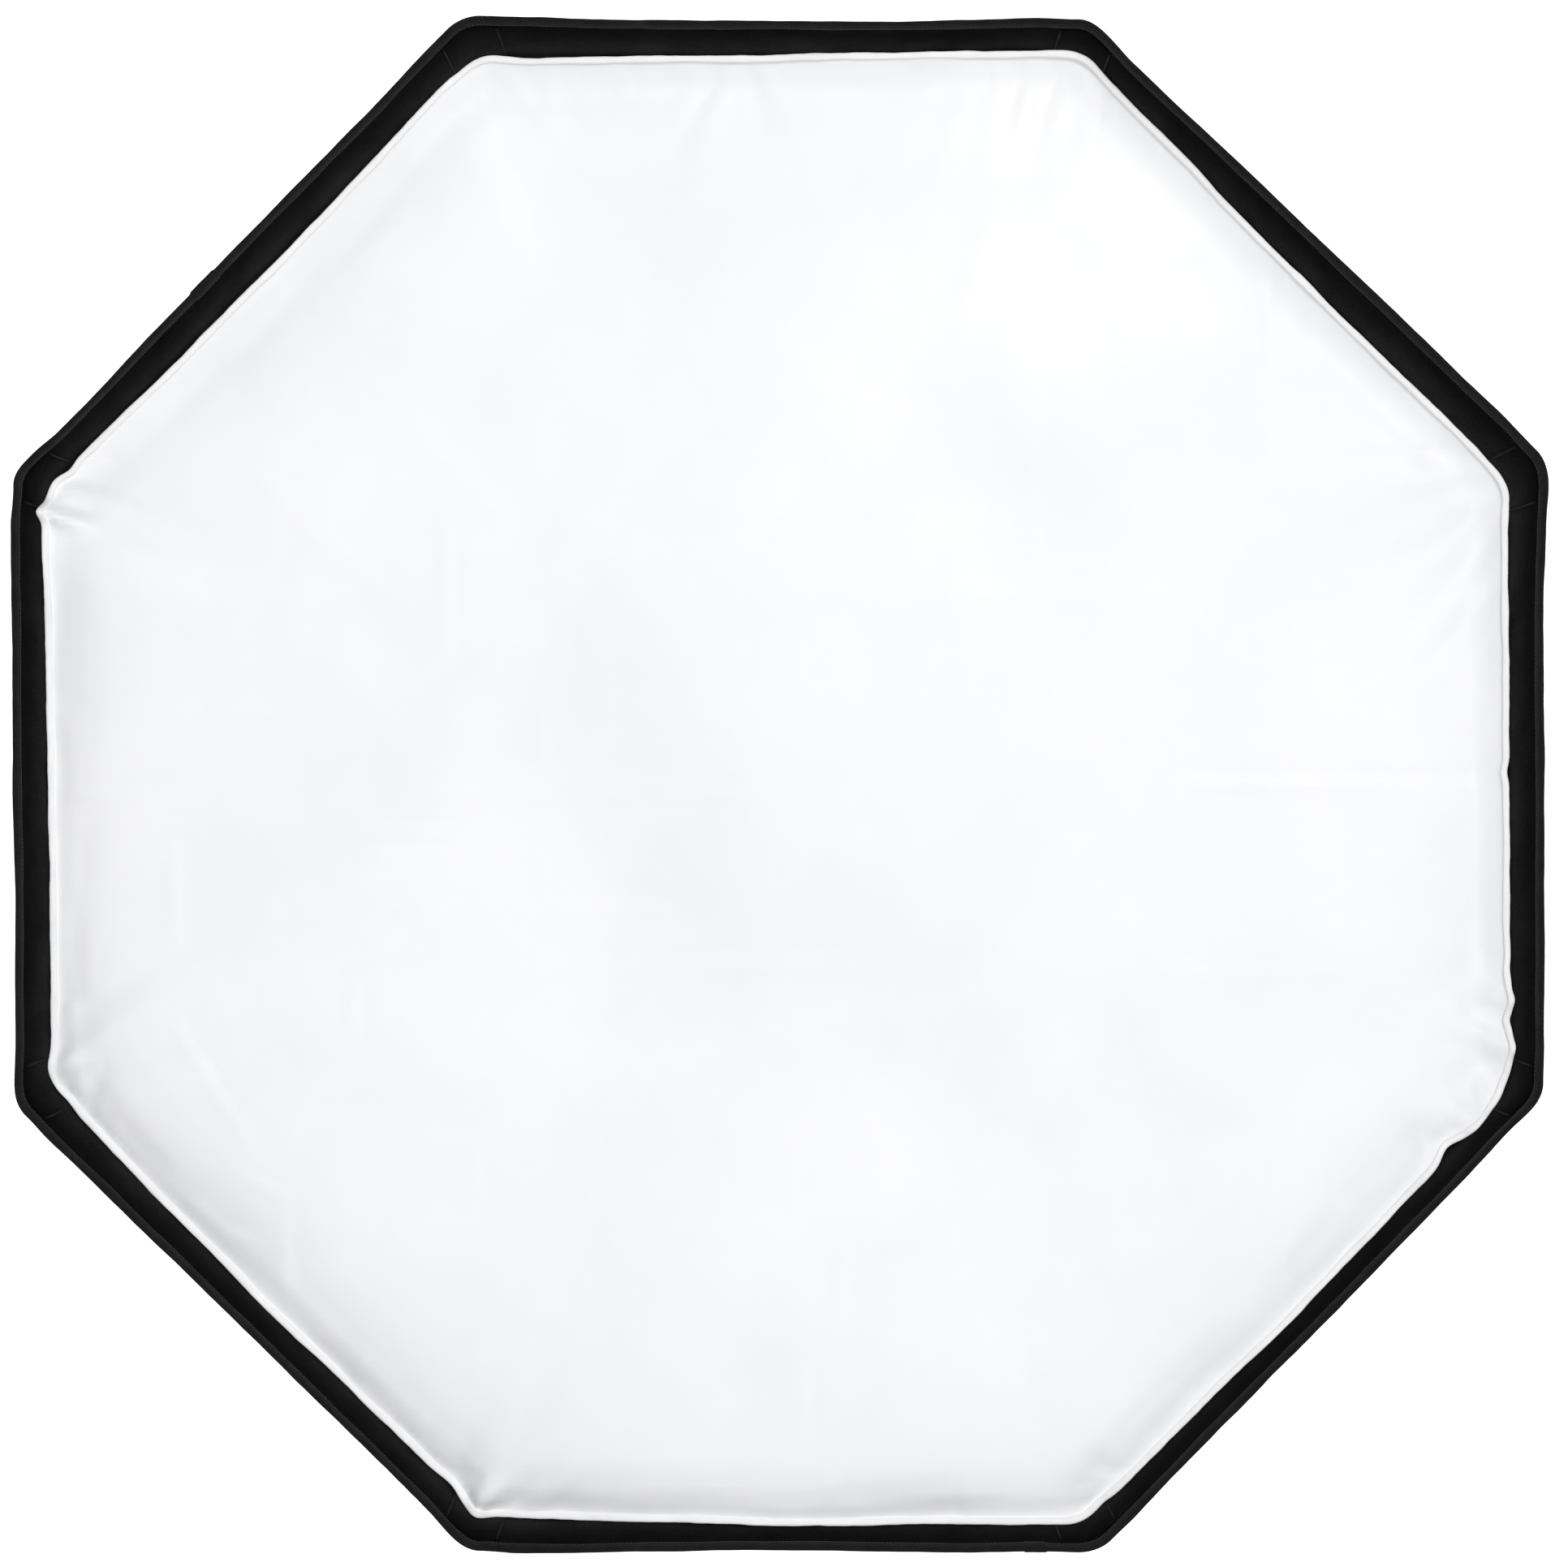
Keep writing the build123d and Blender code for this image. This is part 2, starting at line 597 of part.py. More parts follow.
with BuildPart() as diffuser_piping:
    piping_depth = BORDER_END + PIPING_RADIUS + 0.05
    piping_apothem = lip_apothem(BORDER_END, BORDER_INSET + BORDER_THICKNESS / 2) - 0.3
    with BuildSketch(front_plane(piping_depth), mode=Mode.PRIVATE) as outline:
        octagon(piping_apothem, CORNER_RADIUS - 5)
    with BuildSketch(Plane(origin=(piping_apothem, -piping_depth, 0), z_dir=(0, 0, 1))):
        Circle(PIPING_RADIUS)
    sweep(path=outline.sketch.wires()[0])
save(diffuser_piping.part, "diffuser_piping")

# ---------------------------------------------------------------- inner baffle and its straps
BAFFLE_THICKNESS = 1.0
BAFFLE_BINDING_DEPTH = 3.0
STRAP_WIDTH, STRAP_THICKNESS = 15.0, 1.2
LOOP_BORE, LOOP_RADIUS, LOOP_LENGTH = 3.4, 4.9, 16.0
BUCKLE_LENGTH, BUCKLE_WIDTH, BUCKLE_THICKNESS = 22.0, 20.0, 5.0

with BuildPart() as inner_baffle:
    with BuildSketch(front_plane(BAFFLE_DEPTH)):
        octagon(BAFFLE_APOTHEM - 1, BAFFLE_CORNER - 1)
    extrude(amount=BAFFLE_THICKNESS)
save(inner_baffle.part, "inner_baffle")

with BuildPart() as baffle_binding:
    with BuildSketch(front_plane(BAFFLE_DEPTH - 1)):
        octagon(BAFFLE_APOTHEM, BAFFLE_CORNER)
        octagon(BAFFLE_APOTHEM - 12, BAFFLE_CORNER - 12, Mode.SUBTRACT)
    extrude(amount=BAFFLE_BINDING_DEPTH)
    add(inner_baffle.part, mode=Mode.SUBTRACT)
save(baffle_binding.part, "baffle_binding")

LOOP_SHARE = rod_share_at(BAFFLE_DEPTH)
LOOP_AT = rod_point(LOOP_SHARE)
STRAP_FROM = BAFFLE_APOTHEM / APOTHEM_OF_VERTEX - BAFFLE_CORNER * (1 / APOTHEM_OF_VERTEX - 1) + 0.3
LOOP_TAB = 18.0
TAB_OUTER = LOOP_AT[0] - (LOOP_BORE + LOOP_RADIUS) / 2 / rod_tangent(LOOP_SHARE)[1]
straps, loops, buckles = [], [], []
for rib in RIB_ANGLES:
    base = radial_plane(rib)
    tangent = rod_tangent(LOOP_SHARE)
    front = Plane(origin=(0, -BAFFLE_DEPTH, 0), x_dir=base.x_dir, z_dir=(0, -1, 0))
    with BuildPart() as loop:
        with BuildSketch(across_rod(rib, moved(LOOP_AT, tangent, -LOOP_LENGTH / 2), tangent)):
            Circle(LOOP_RADIUS)
            Circle(LOOP_BORE, mode=Mode.SUBTRACT)
        extrude(amount=LOOP_LENGTH)
        with BuildSketch(front):
            with Locations((TAB_OUTER - LOOP_TAB / 2, 0)):
                Rectangle(LOOP_TAB, STRAP_WIDTH)
        extrude(amount=STRAP_THICKNESS / 2, both=True)
    loops.append(loop.part)

    tab_end = TAB_OUTER - LOOP_TAB
    buckle_from = tab_end - BUCKLE_LENGTH - 0.05
    with BuildPart() as buckle:
        with BuildSketch(front):
            with Locations((buckle_from + BUCKLE_LENGTH / 2, 0)):
                RectangleRounded(BUCKLE_LENGTH, BUCKLE_WIDTH, 3)
                Rectangle(4, STRAP_WIDTH, mode=Mode.SUBTRACT)
        extrude(amount=BUCKLE_THICKNESS / 2, both=True)
    buckles.append(buckle.part)

    with BuildPart() as strap:
        with BuildSketch(front):
            length = buckle_from - 0.05 - STRAP_FROM
            with Locations((STRAP_FROM + length / 2, 0)):
                Rectangle(length, STRAP_WIDTH)
        extrude(amount=STRAP_THICKNESS / 2, both=True)
    straps.append(strap.part)
save_group(straps, "baffle_straps")
save_group(loops, "strap_loops")
save_group(buckles, "strap_buckles")

# ---------------------------------------------------------------- lock knobs, which clamp the insert
KNOB_RADIUS, KNOB_LENGTH = 10.0, 14.0
KNOB_START = RING_RADIUS + 1.4
SCREW_TIP = INSERT_RADIUS + 0.35
GRIPS = 14
for number, angle in enumerate(KNOB_ANGLES, start=1):
    with BuildPart() as knob:
        with BuildSketch(knob_plane(angle, SCREW_TIP)):
            Circle(3.0)
        extrude(amount=KNOB_START - SCREW_TIP)
        with BuildSketch(knob_plane(angle, KNOB_START)):
            Circle(6.0)
        extrude(amount=3)
        with BuildSketch(knob_plane(angle, KNOB_START + 3)):
            Circle(KNOB_RADIUS)
            with PolarLocations(KNOB_RADIUS + 0.4, GRIPS):
                Circle(1.3, mode=Mode.SUBTRACT)
        extrude(amount=KNOB_LENGTH - 3)
        with BuildSketch(knob_plane(angle, KNOB_START + KNOB_LENGTH)):
            Circle(6.5)
        extrude(amount=-1.0, mode=Mode.SUBTRACT)
    save(knob.part, f"lock_knob_{number}")
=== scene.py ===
import math

import bmesh
import bpy
import numpy as np
from mathutils import Matrix, Vector


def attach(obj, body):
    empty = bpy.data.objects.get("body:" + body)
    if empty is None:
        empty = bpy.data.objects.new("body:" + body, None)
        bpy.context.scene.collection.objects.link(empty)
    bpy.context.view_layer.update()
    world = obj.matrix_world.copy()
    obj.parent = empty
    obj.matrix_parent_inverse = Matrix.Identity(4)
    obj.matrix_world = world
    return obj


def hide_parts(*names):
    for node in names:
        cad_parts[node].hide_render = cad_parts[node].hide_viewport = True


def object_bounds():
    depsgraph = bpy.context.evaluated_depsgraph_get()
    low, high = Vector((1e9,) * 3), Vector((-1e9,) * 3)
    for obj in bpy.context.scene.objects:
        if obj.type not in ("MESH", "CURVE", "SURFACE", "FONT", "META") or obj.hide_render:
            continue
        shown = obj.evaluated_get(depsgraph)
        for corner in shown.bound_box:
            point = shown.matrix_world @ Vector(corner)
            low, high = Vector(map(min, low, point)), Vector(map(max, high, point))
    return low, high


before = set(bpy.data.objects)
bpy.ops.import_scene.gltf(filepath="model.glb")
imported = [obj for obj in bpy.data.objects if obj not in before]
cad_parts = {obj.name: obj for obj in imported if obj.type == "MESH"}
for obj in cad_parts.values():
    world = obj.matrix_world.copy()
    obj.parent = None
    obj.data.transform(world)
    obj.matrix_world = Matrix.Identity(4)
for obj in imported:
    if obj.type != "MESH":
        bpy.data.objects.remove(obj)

cad_low, cad_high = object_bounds()

# ------------------------------------------------------------------ the object's own dimensions, in millimetres
# A piece's depth is its distance in front of the bayonet seat, so y = -depth. Angles run from +X towards +Z.
MM = 0.001
HALF = math.radians(22.5)
T22, C22 = math.tan(HALF), math.cos(HALF)
SEAM_DEPTH, HEM_DEPTH = 450.0, 514.0
LIP_LENGTH = HEM_DEPTH - SEAM_DEPTH
SEAM_APOTHEM = 575.5
HEM_INNER = 600.0 - 1.2  # the lip's outer face at its front edge, under the binding
LIP_SLOPE = (HEM_INNER - SEAM_APOTHEM) / LIP_LENGTH
CORNER = 33.0
RIBS = [22.5 + 45 * k for k in range(8)]

# ------------------------------------------------------------------ camera, level and straight on
HEM_DISTANCE = 4.0
camera_data = bpy.data.cameras.new("camera")
camera = bpy.data.objects.new("camera", camera_data)
bpy.context.scene.collection.objects.link(camera)
camera_data.sensor_width = 36.0
camera_data.lens = 117.2
camera.location = (0.0041, cad_low.y - HEM_DISTANCE, 0.0006)
camera.rotation_euler = (math.pi / 2, 0, 0)
camera_data.clip_start, camera_data.clip_end = 0.05, 60
bpy.context.scene.camera = camera


# ------------------------------------------------------------------ numbers that repeat from run to run
def lattice(x, y, seed, wrap=0):
    """Smooth gradient noise from about -1 to 1. wrap repeats it along x after that many cells."""
    rng = np.random.default_rng(seed)
    angles = rng.uniform(0, 2 * np.pi, (64, 64))
    xi, yi = np.floor(x).astype(int), np.floor(y).astype(int)
    fx, fy = x - xi, y - yi
    sx, sy = fx * fx * (3 - 2 * fx), fy * fy * (3 - 2 * fy)
    total = 0
    for dx in (0, 1):
        for dy in (0, 1):
            cell = (xi + dx) % wrap if wrap else xi + dx
            a = angles[cell % 64, (yi + dy) % 64]
            value = np.cos(a) * (fx - dx) + np.sin(a) * (fy - dy)
            total = total + value * (sx if dx else 1 - sx) * (sy if dy else 1 - sy)
    return total * 1.6


def smoothstep(edge_low, edge_high, x):
    t = np.clip((x - edge_low) / (edge_high - edge_low), 0, 1)
    return t * t * (3 - 2 * t)


# ------------------------------------------------------------------ the octagon's outline
def stations(side_steps, corner_steps):
    """Places round the octagon: side angle, place along the side from -1 to 1, and turn past the side's end."""
    rows = []
    for k in range(8):
        for i in range(side_steps):
            rows.append((k, -1 + 2 * i / side_steps, 0.0))
        for i in range(corner_steps):
            rows.append((k, 1.0, i / corner_steps))
    return np.array(rows)


def outline(st, apothem, corner):
    """Points (x, z) and outward normals of a rounded octagon at the stations."""
    side = np.radians(st[:, 0] * 45.0)
    turn = side + np.radians(45.0) * st[:, 2]
    half = (apothem - corner) * T22
    core_x = np.cos(side) * (apothem - corner) - np.sin(side) * st[:, 1] * half
    core_z = np.sin(side) * (apothem - corner) + np.cos(side) * st[:, 1] * half
    normal = np.stack([np.cos(turn), np.sin(turn)], 1)
    point = np.stack([core_x, core_z], 1) + normal * corner
    return point, normal


def at_depth(xz, depth):
    """Points (x, y, z) at the places (x, z) and a depth."""
    return np.stack([xz[:, 0], np.broadcast_to(-depth, len(xz)), xz[:, 1]], 1)


def perimeter(st):
    """Place round the outline in millimetres at the lip, from 0 to PERIMETER."""
    along = st[:, 1] * (1 - 0.03) + st[:, 2] * 0.06
    return ((st[:, 0] + 0.5 * along) * SIDE_LENGTH) % PERIMETER


SIDE_LENGTH = 2 * 590.0 * T22
PERIMETER = 8 * SIDE_LENGTH


def wave(s, cells, seed, row=0.0):
    """Noise round the perimeter, closed on itself."""
    return lattice(s / PERIMETER * cells, np.full_like(s, row + 0.37), seed, cells)


def places_of(x, z, apothem, corner):
    """For points (x, z): the nearest places on a rounded octagon, in the same form as stations gives them."""
    k, a, b = sides_of(x, z)
    core = (apothem - corner) * T22
    over = np.clip(np.abs(b) - core, 0, None)
    turn = np.arctan2(over, np.clip(a - (apothem - corner), 1e-3, None)) / np.radians(45.0)
    share = np.clip(b / core, -1, 1)
    early = (b < 0) & (over > 0)
    side = np.where(early, (k - 1) % 8, k)
    return np.stack([side, np.where(early, 1.0, share), np.where(early, 1 - turn, turn)], 1)


def sides_of(x, z):
    """For points (x, z): the side they face, their apothem there, and their place along it."""
    k = np.round(np.degrees(np.arctan2(z, x)) / 45.0) % 8
    a = np.radians(k * 45.0)
    return k, x * np.cos(a) + z * np.sin(a), -x * np.sin(a) + z * np.cos(a)


# ------------------------------------------------------------------ mesh helpers
def new_object(name, mesh, smooth=True):
    obj = bpy.data.objects.new(name, mesh)
    bpy.context.scene.collection.objects.link(obj)
    if smooth:
        mesh.polygons.foreach_set("use_smooth", [True] * len(mesh.polygons))
    return obj


def grid_faces(rows, cols, wrap_rows=False, wrap_cols=False, start=0):
    r = np.arange(rows if wrap_rows else rows - 1)
    c = np.arange(cols if wrap_cols else cols - 1)
    rr, cc = np.meshgrid(r, c, indexing="ij")
    r2, c2 = (rr + 1) % rows, (cc + 1) % cols
    quads = np.stack([rr * cols + cc, r2 * cols + cc, r2 * cols + c2, rr * cols + c2], -1)
    return quads.reshape(-1, 4) + start


def mesh_from(name, points, faces, uv=None):
    """Mesh of (n, 3) points in millimetres and a list of faces, with per-point UVs in metres."""
    mesh = bpy.data.meshes.new(name)
    mesh.from_pydata((np.asarray(points) * MM).tolist(), [], [list(map(int, f)) for f in faces])
    if uv is not None:
        layer = mesh.uv_layers.new(name="weave")
        index = np.zeros(len(mesh.loops), int)
        mesh.loops.foreach_get("vertex_index", index)
        layer.data.foreach_set("uv", (np.asarray(uv)[index] * MM).astype(np.float32).ravel())
    mesh.validate()
    mesh.update()
    return mesh


def face_outward(mesh):
    bm = bmesh.new()
    bm.from_mesh(mesh)
    bmesh.ops.recalc_face_normals(bm, faces=bm.faces)
    bm.to_mesh(mesh)
    bm.free()


def cloth(name, outer, inner, wrap_rows, uv=None):
    """Closed thin solid between two grids of points (rows, cols, 3)."""
    rows, cols = outer.shape[:2]
    n = rows * cols
    points = np.concatenate([outer.reshape(-1, 3), inner.reshape(-1, 3)])
    faces = [grid_faces(rows, cols, wrap_rows), grid_faces(rows, cols, wrap_rows, start=n)[:, ::-1]]
    index = np.arange(n).reshape(rows, cols)
    edges = [index[:, 0], index[:, -1]]
    for number, edge in enumerate(edges):
        nxt = np.roll(edge, -1)
        if not wrap_rows:
            edge, nxt = edge[:-1], nxt[:-1]
        quad = np.stack([edge, nxt, nxt + n, edge + n], 1)
        faces.append(quad if number else quad[:, ::-1])
    if not wrap_rows:
        for number, edge in enumerate((index[0], index[-1])):
            a, b = edge[:-1], edge[1:]
            quad = np.stack([a, b, b + n, a + n], 1)
            faces.append(quad[:, ::-1] if number else quad)
    both = None if uv is None else np.concatenate([uv.reshape(-1, 2)] * 2)
    mesh = mesh_from(name, points, np.concatenate(faces), both)
    face_outward(mesh)
    return new_object(name, mesh)


def ring_solid(name, rings, uv=None):
    """Closed tube round the octagon: rings is (stations, section points, 3)."""
    rows, cols = rings.shape[:2]
    flat_uv = None if uv is None else uv.reshape(-1, 2)
    mesh = mesh_from(name, rings.reshape(-1, 3), grid_faces(rows, cols, True, True), flat_uv)
    face_outward(mesh)
    return new_object(name, mesh)


def beads(name, centres, along, up, length, width, height, sides=6):
    """Stitches: one small rounded thread segment at each centre, joined into one mesh."""
    rings = [(-0.5, 0.0), (-0.42, 0.62), (-0.22, 1.0), (0.22, 1.0), (0.42, 0.62), (0.5, 0.0)]
    t = np.linspace(0, 2 * np.pi, sides, endpoint=False)
    base = [(-0.5, 0, 0)]
    for a, r in rings[1:-1]:
        base += [(a, r * math.cos(x), r * math.sin(x)) for x in t]
    base.append((0.5, 0, 0))
    base = np.array(base)
    faces = []
    for j in range(len(rings) - 3):
        for i in range(sides):
            a, b = 1 + j * sides + i, 1 + j * sides + (i + 1) % sides
            faces.append((a, b, b + sides, a + sides))
    last = 1 + (len(rings) - 3) * sides
    for i in range(sides):
        faces.append((0, 1 + (i + 1) % sides, 1 + i, 1 + i))
        faces.append((last + i, last + (i + 1) % sides, len(base) - 1, len(base) - 1))
    quads = [f for f in faces if f[2] != f[3]]
    tris = [f[:3] for f in faces if f[2] == f[3]]
    along = along / np.linalg.norm(along, axis=1, keepdims=True)
    across = np.cross(up, along)
    across /= np.linalg.norm(across, axis=1, keepdims=True)
    lift = np.cross(along, across)
    n = len(base)
    points = (
        centres[:, None, :]
        + base[None, :, 0:1] * length * along[:, None, :]
        + base[None, :, 1:2] * width * 0.5 * across[:, None, :]
        + base[None, :, 2:3] * height * 0.5 * lift[:, None, :]
    ).reshape(-1, 3)
    shift = (np.arange(len(centres)) * n)[:, None, None]
    all_faces = (np.array(quads)[None] + shift).reshape(-1, 4).tolist()
    all_faces += (np.array(tris)[None] + shift).reshape(-1, 3).tolist()
    mesh = mesh_from(name, points, all_faces)
    face_outward(mesh)
    return new_object(name, mesh)


def resample(path, step, closed=False):
    """Evenly spaced points along a polyline, with unit tangents."""
    path = np.asarray(path, float)
    if closed:
        path = np.concatenate([path, path[:1]])
    seg = np.linalg.norm(np.diff(path, axis=0), axis=1)
    at = np.concatenate([[0], np.cumsum(seg)])
    count = max(2, int(at[-1] / step))
    want = (np.arange(count) + 0.5) * at[-1] / count
    points = np.stack([np.interp(want, at, path[:, i]) for i in range(3)], 1)
    ahead = np.stack([np.interp(want + step * 0.3, at, path[:, i]) for i in range(3)], 1)
    back = np.stack([np.interp(want - step * 0.3, at, path[:, i]) for i in range(3)], 1)
    tangent = ahead - back
    return points, tangent / np.linalg.norm(tangent, axis=1, keepdims=True)


def sweep_tube(name, path, section, up, closed=False, scale=None):
    """Tube of a closed section of (side, up) points in millimetres along a path."""
    path = np.asarray(path, float)
    ahead = np.roll(path, -1, 0) - np.roll(path, 1, 0)
    if not closed:
        ahead[0], ahead[-1] = path[1] - path[0], path[-1] - path[-2]
    ahead /= np.linalg.norm(ahead, axis=1, keepdims=True)
    up = np.broadcast_to(np.asarray(up, float), path.shape)
    side = np.cross(ahead, up)
    side /= np.linalg.norm(side, axis=1, keepdims=True)
    lift = np.cross(side, ahead)
    section = np.asarray(section, float)
    size = np.ones(len(path)) if scale is None else np.asarray(scale)
    grid = (
        path[:, None]
        + section[None, :, 0:1] * size[:, None, None] * side[:, None]
        + section[None, :, 1:2] * size[:, None, None] * lift[:, None]
    )
    rows, cols = grid.shape[:2]
    faces = grid_faces(rows, cols, closed, True).tolist()
    if not closed:
        faces.append(list(range(cols))[::-1])
        faces.append([(rows - 1) * cols + i for i in range(cols)])
    mesh = mesh_from(name, grid.reshape(-1, 3), faces)
    face_outward(mesh)
    return new_object(name, mesh)


def rounded_section(width, height, power=3.0, count=16):
    """Closed superellipse section, wider than high."""
    t = np.linspace(0, 2 * np.pi, count, endpoint=False)
    c, s = np.cos(t), np.sin(t)
    x = np.sign(c) * np.abs(c) ** (2 / power) * width / 2
    y = np.sign(s) * np.abs(s) ** (2 / power) * height / 2
    return np.stack([x, y], 1)


def join(name, objects):
    """One object from several."""
    bm = bmesh.new()
    for obj in objects:
        bm.from_mesh(obj.data)
    mesh = bpy.data.meshes.new(name)
    bm.to_mesh(mesh)
    bm.free()
    for obj in objects:
        old = obj.data
        bpy.data.objects.remove(obj)
        bpy.data.meshes.remove(old)
    return new_object(name, mesh)


# ------------------------------------------------------------------ materials
class Paint:
    """A material with one Principled shader, and short calls for the nodes that feed it."""

    def __init__(self, name, **sockets):
        self.mat = bpy.data.materials.new(name)
        self.mat.use_nodes = True
        self.tree = self.mat.node_tree
        self.shader = self.tree.nodes["Principled BSDF"]
        for key, value in sockets.items():
            self.set(key, value)
        coords = self.tree.nodes.new("ShaderNodeTexCoord")
        self.object = coords.outputs["Object"]
        self.uv = coords.outputs["UV"]

    def set(self, key, value):
        socket = self.shader.inputs[key.replace("_", " ")]
        if socket.type == "RGBA" and len(value) == 3:
            value = (*value, 1)
        socket.default_value = value

    def node(self, kind, **inputs):
        made = self.tree.nodes.new("ShaderNode" + kind)
        for key, value in inputs.items():
            if hasattr(made, key) and key not in made.inputs:
                setattr(made, key, value)
        return made

    def link(self, a, b):
        self.tree.links.new(a, b)

    def noise(self, scale, detail=2.0, rough=0.5, coords=None, stretch=(1, 1, 1)):
        made = self.node("TexNoise")
        made.inputs["Scale"].default_value = scale
        made.inputs["Detail"].default_value = detail
        made.inputs["Roughness"].default_value = rough
        self.link(self.stretched(coords or self.object, stretch), made.inputs["Vector"])
        return made.outputs["Fac"]

    def stretched(self, coords, stretch):
        if stretch == (1, 1, 1):
            return coords
        mapping = self.node("Mapping")
        mapping.inputs["Scale"].default_value = stretch
        self.link(coords, mapping.inputs["Vector"])
        return mapping.outputs["Vector"]

    def waves(self, scale, direction="X", distortion=0.0, coords=None, profile="SIN", stretch=(1, 1, 1)):
        made = self.node("TexWave")
        made.bands_direction = direction
        made.wave_profile = profile
        made.inputs["Scale"].default_value = scale
        made.inputs["Distortion"].default_value = distortion
        self.link(self.stretched(coords or self.object, stretch), made.inputs["Vector"])
        return made.outputs["Fac"]

    def rings(self, scale):
        made = self.node("TexWave")
        made.wave_type = "RINGS"
        made.rings_direction = "Y"
        made.inputs["Scale"].default_value = scale
        self.link(self.object, made.inputs["Vector"])
        return made.outputs["Fac"]

    def voronoi(self, scale, feature="F1", coords=None):
        made = self.node("TexVoronoi")
        made.feature = feature
        made.inputs["Scale"].default_value = scale
        self.link(coords or self.object, made.inputs["Vector"])
        return made.outputs["Distance"]

    def math(self, operation, a, b=0.5):
        made = self.node("Math")
        made.operation = operation
        for socket, value in zip(made.inputs, (a, b)):
            if isinstance(value, (int, float)):
                socket.default_value = value
            else:
                self.link(value, socket)
        return made.outputs["Value"]

    def ramp(self, value, low, high, start=0.0, end=1.0):
        """Colour from low to high as value goes from start to end."""
        made = self.node("ValToRGB")
        stops = made.color_ramp.elements
        stops[0].position, stops[1].position = start, end
        stops[0].color, stops[1].color = (*low, 1), (*high, 1)
        self.link(value, made.inputs["Fac"])
        return made.outputs["Color"]

    def span(self, value, low, high):
        made = self.node("MapRange")
        made.inputs["To Min"].default_value = low
        made.inputs["To Max"].default_value = high
        self.link(value, made.inputs["Value"])
        return made.outputs["Result"]

    def color(self, value):
        self.link(value, self.shader.inputs["Base Color"])
        return self

    def rough(self, value):
        self.link(value, self.shader.inputs["Roughness"])
        return self

    def bump(self, *layers):
        """Bumps on top of each other: (height, strength, distance in metres)."""
        normal = None
        for height, strength, distance in layers:
            made = self.node("Bump")
            made.inputs["Strength"].default_value = strength
            made.inputs["Distance"].default_value = distance
            self.link(height, made.inputs["Height"])
            if normal is not None:
                self.link(normal, made.inputs["Normal"])
            normal = made.outputs["Normal"]
        self.link(normal, self.shader.inputs["Normal"])
        return self


def woven(name, dark, light, roughness, sheen, sheen_tint, thread, depth, mottling=9.0, rough_spread=0.08):
    """Plain-weave cloth: over-and-under threads, mottled colour, and a soft sheen."""
    p = Paint(name, Roughness=roughness, Sheen_Weight=sheen, Sheen_Roughness=0.45, Sheen_Tint=sheen_tint)
    warp = p.waves(1 / thread, "X")
    weft = p.waves(1 / thread, "Z")
    rise = p.waves(1 / thread, "Y")
    weave = p.math("ADD", p.math("MULTIPLY", warp, weft), p.math("MULTIPLY", rise, 0.5))
    blotch = p.math("ADD", p.math("MULTIPLY", p.noise(mottling, 4), 0.75), p.math("MULTIPLY", weave, 0.12))
    p.color(p.ramp(blotch, dark, light, 0.25, 0.75))
    p.rough(p.span(p.noise(mottling * 3, 3), roughness - rough_spread, roughness + rough_spread))
    p.bump((weave, 0.5, depth), (p.noise(140, 3), 0.25, depth * 2))
    return p.mat


def metal(name, dark, light, roughness, turned=0.0, coat=0.0, metallic=1.0):
    p = Paint(name, Metallic=metallic, Roughness=roughness, Coat_Weight=coat, Coat_Roughness=0.25)
    spots = p.noise(60, 5, 0.6)
    p.color(p.ramp(spots, dark, light, 0.3, 0.72))
    p.rough(p.span(p.noise(180, 4), roughness - 0.07, roughness + 0.1))
    layers = [(p.noise(900, 2), 0.25, 0.00005)]
    if turned:
        layers.append((p.rings(turned), 0.35, 0.00004))
    p.bump(*layers)
    return p.mat


def thread(name, dark, light, **sockets):
    """Twisted sewing thread."""
    p = Paint(name, Roughness=0.6, **sockets)
    p.color(p.ramp(p.noise(500, 2), dark, light))
    p.bump((p.waves(1600, "DIAGONAL"), 0.6, 0.0001))
    return p


def moulded(name, dark, light, grain, fine, stretch=(1, 1, 1), **sockets):
    """Plastic or rubber: mottled at grain (scale, detail), with a fine bump (scale, strength, distance)."""
    p = Paint(name, **sockets)
    p.color(p.ramp(p.noise(*grain, stretch=stretch), dark, light))
    p.bump((p.noise(fine[0], 3), *fine[1:]))
    return p


def plain(name, emission, dark, light):
    """Floor, wall or backdrop: near-even grey that glows a little."""
    p = Paint(name, Roughness=0.9, Emission_Strength=emission, Emission_Color=(1, 1, 1), Specular_IOR_Level=0.1)
    p.color(p.ramp(p.noise(2), (dark,) * 3, (light,) * 3))
    return p


satin = Paint("white_satin", Roughness=0.5, Sheen_Weight=0.12, Sheen_Roughness=0.4, Specular_IOR_Level=0.35)
satin.color(satin.ramp(satin.noise(5, 4), (0.86, 0.868, 0.89), (0.925, 0.93, 0.945), 0.3, 0.7))
satin.rough(satin.span(satin.noise(14, 3), 0.42, 0.58))
satin_weave = satin.math("MULTIPLY", satin.waves(520, "X"), satin.waves(520, "Z"))
satin.bump(
    (satin_weave, 0.12, 0.00008),
    (satin.noise(26, 4, coords=satin.object, stretch=(1, 1, 2.4)), 0.22, 0.0011),
    (satin.noise(70, 3, stretch=(1, 1, 0.5)), 0.1, 0.0005),
)
hem_white = Paint("white_hem", Roughness=0.6, Sheen_Weight=0.15, Sheen_Roughness=0.4)
hem_white.color(hem_white.ramp(hem_white.noise(30, 3), (0.89, 0.895, 0.91), (0.955, 0.96, 0.97), 0.3, 0.7))
hem_white.bump((hem_white.noise(220, 3), 0.25, 0.0003), (hem_white.noise(60, 2), 0.25, 0.0008))

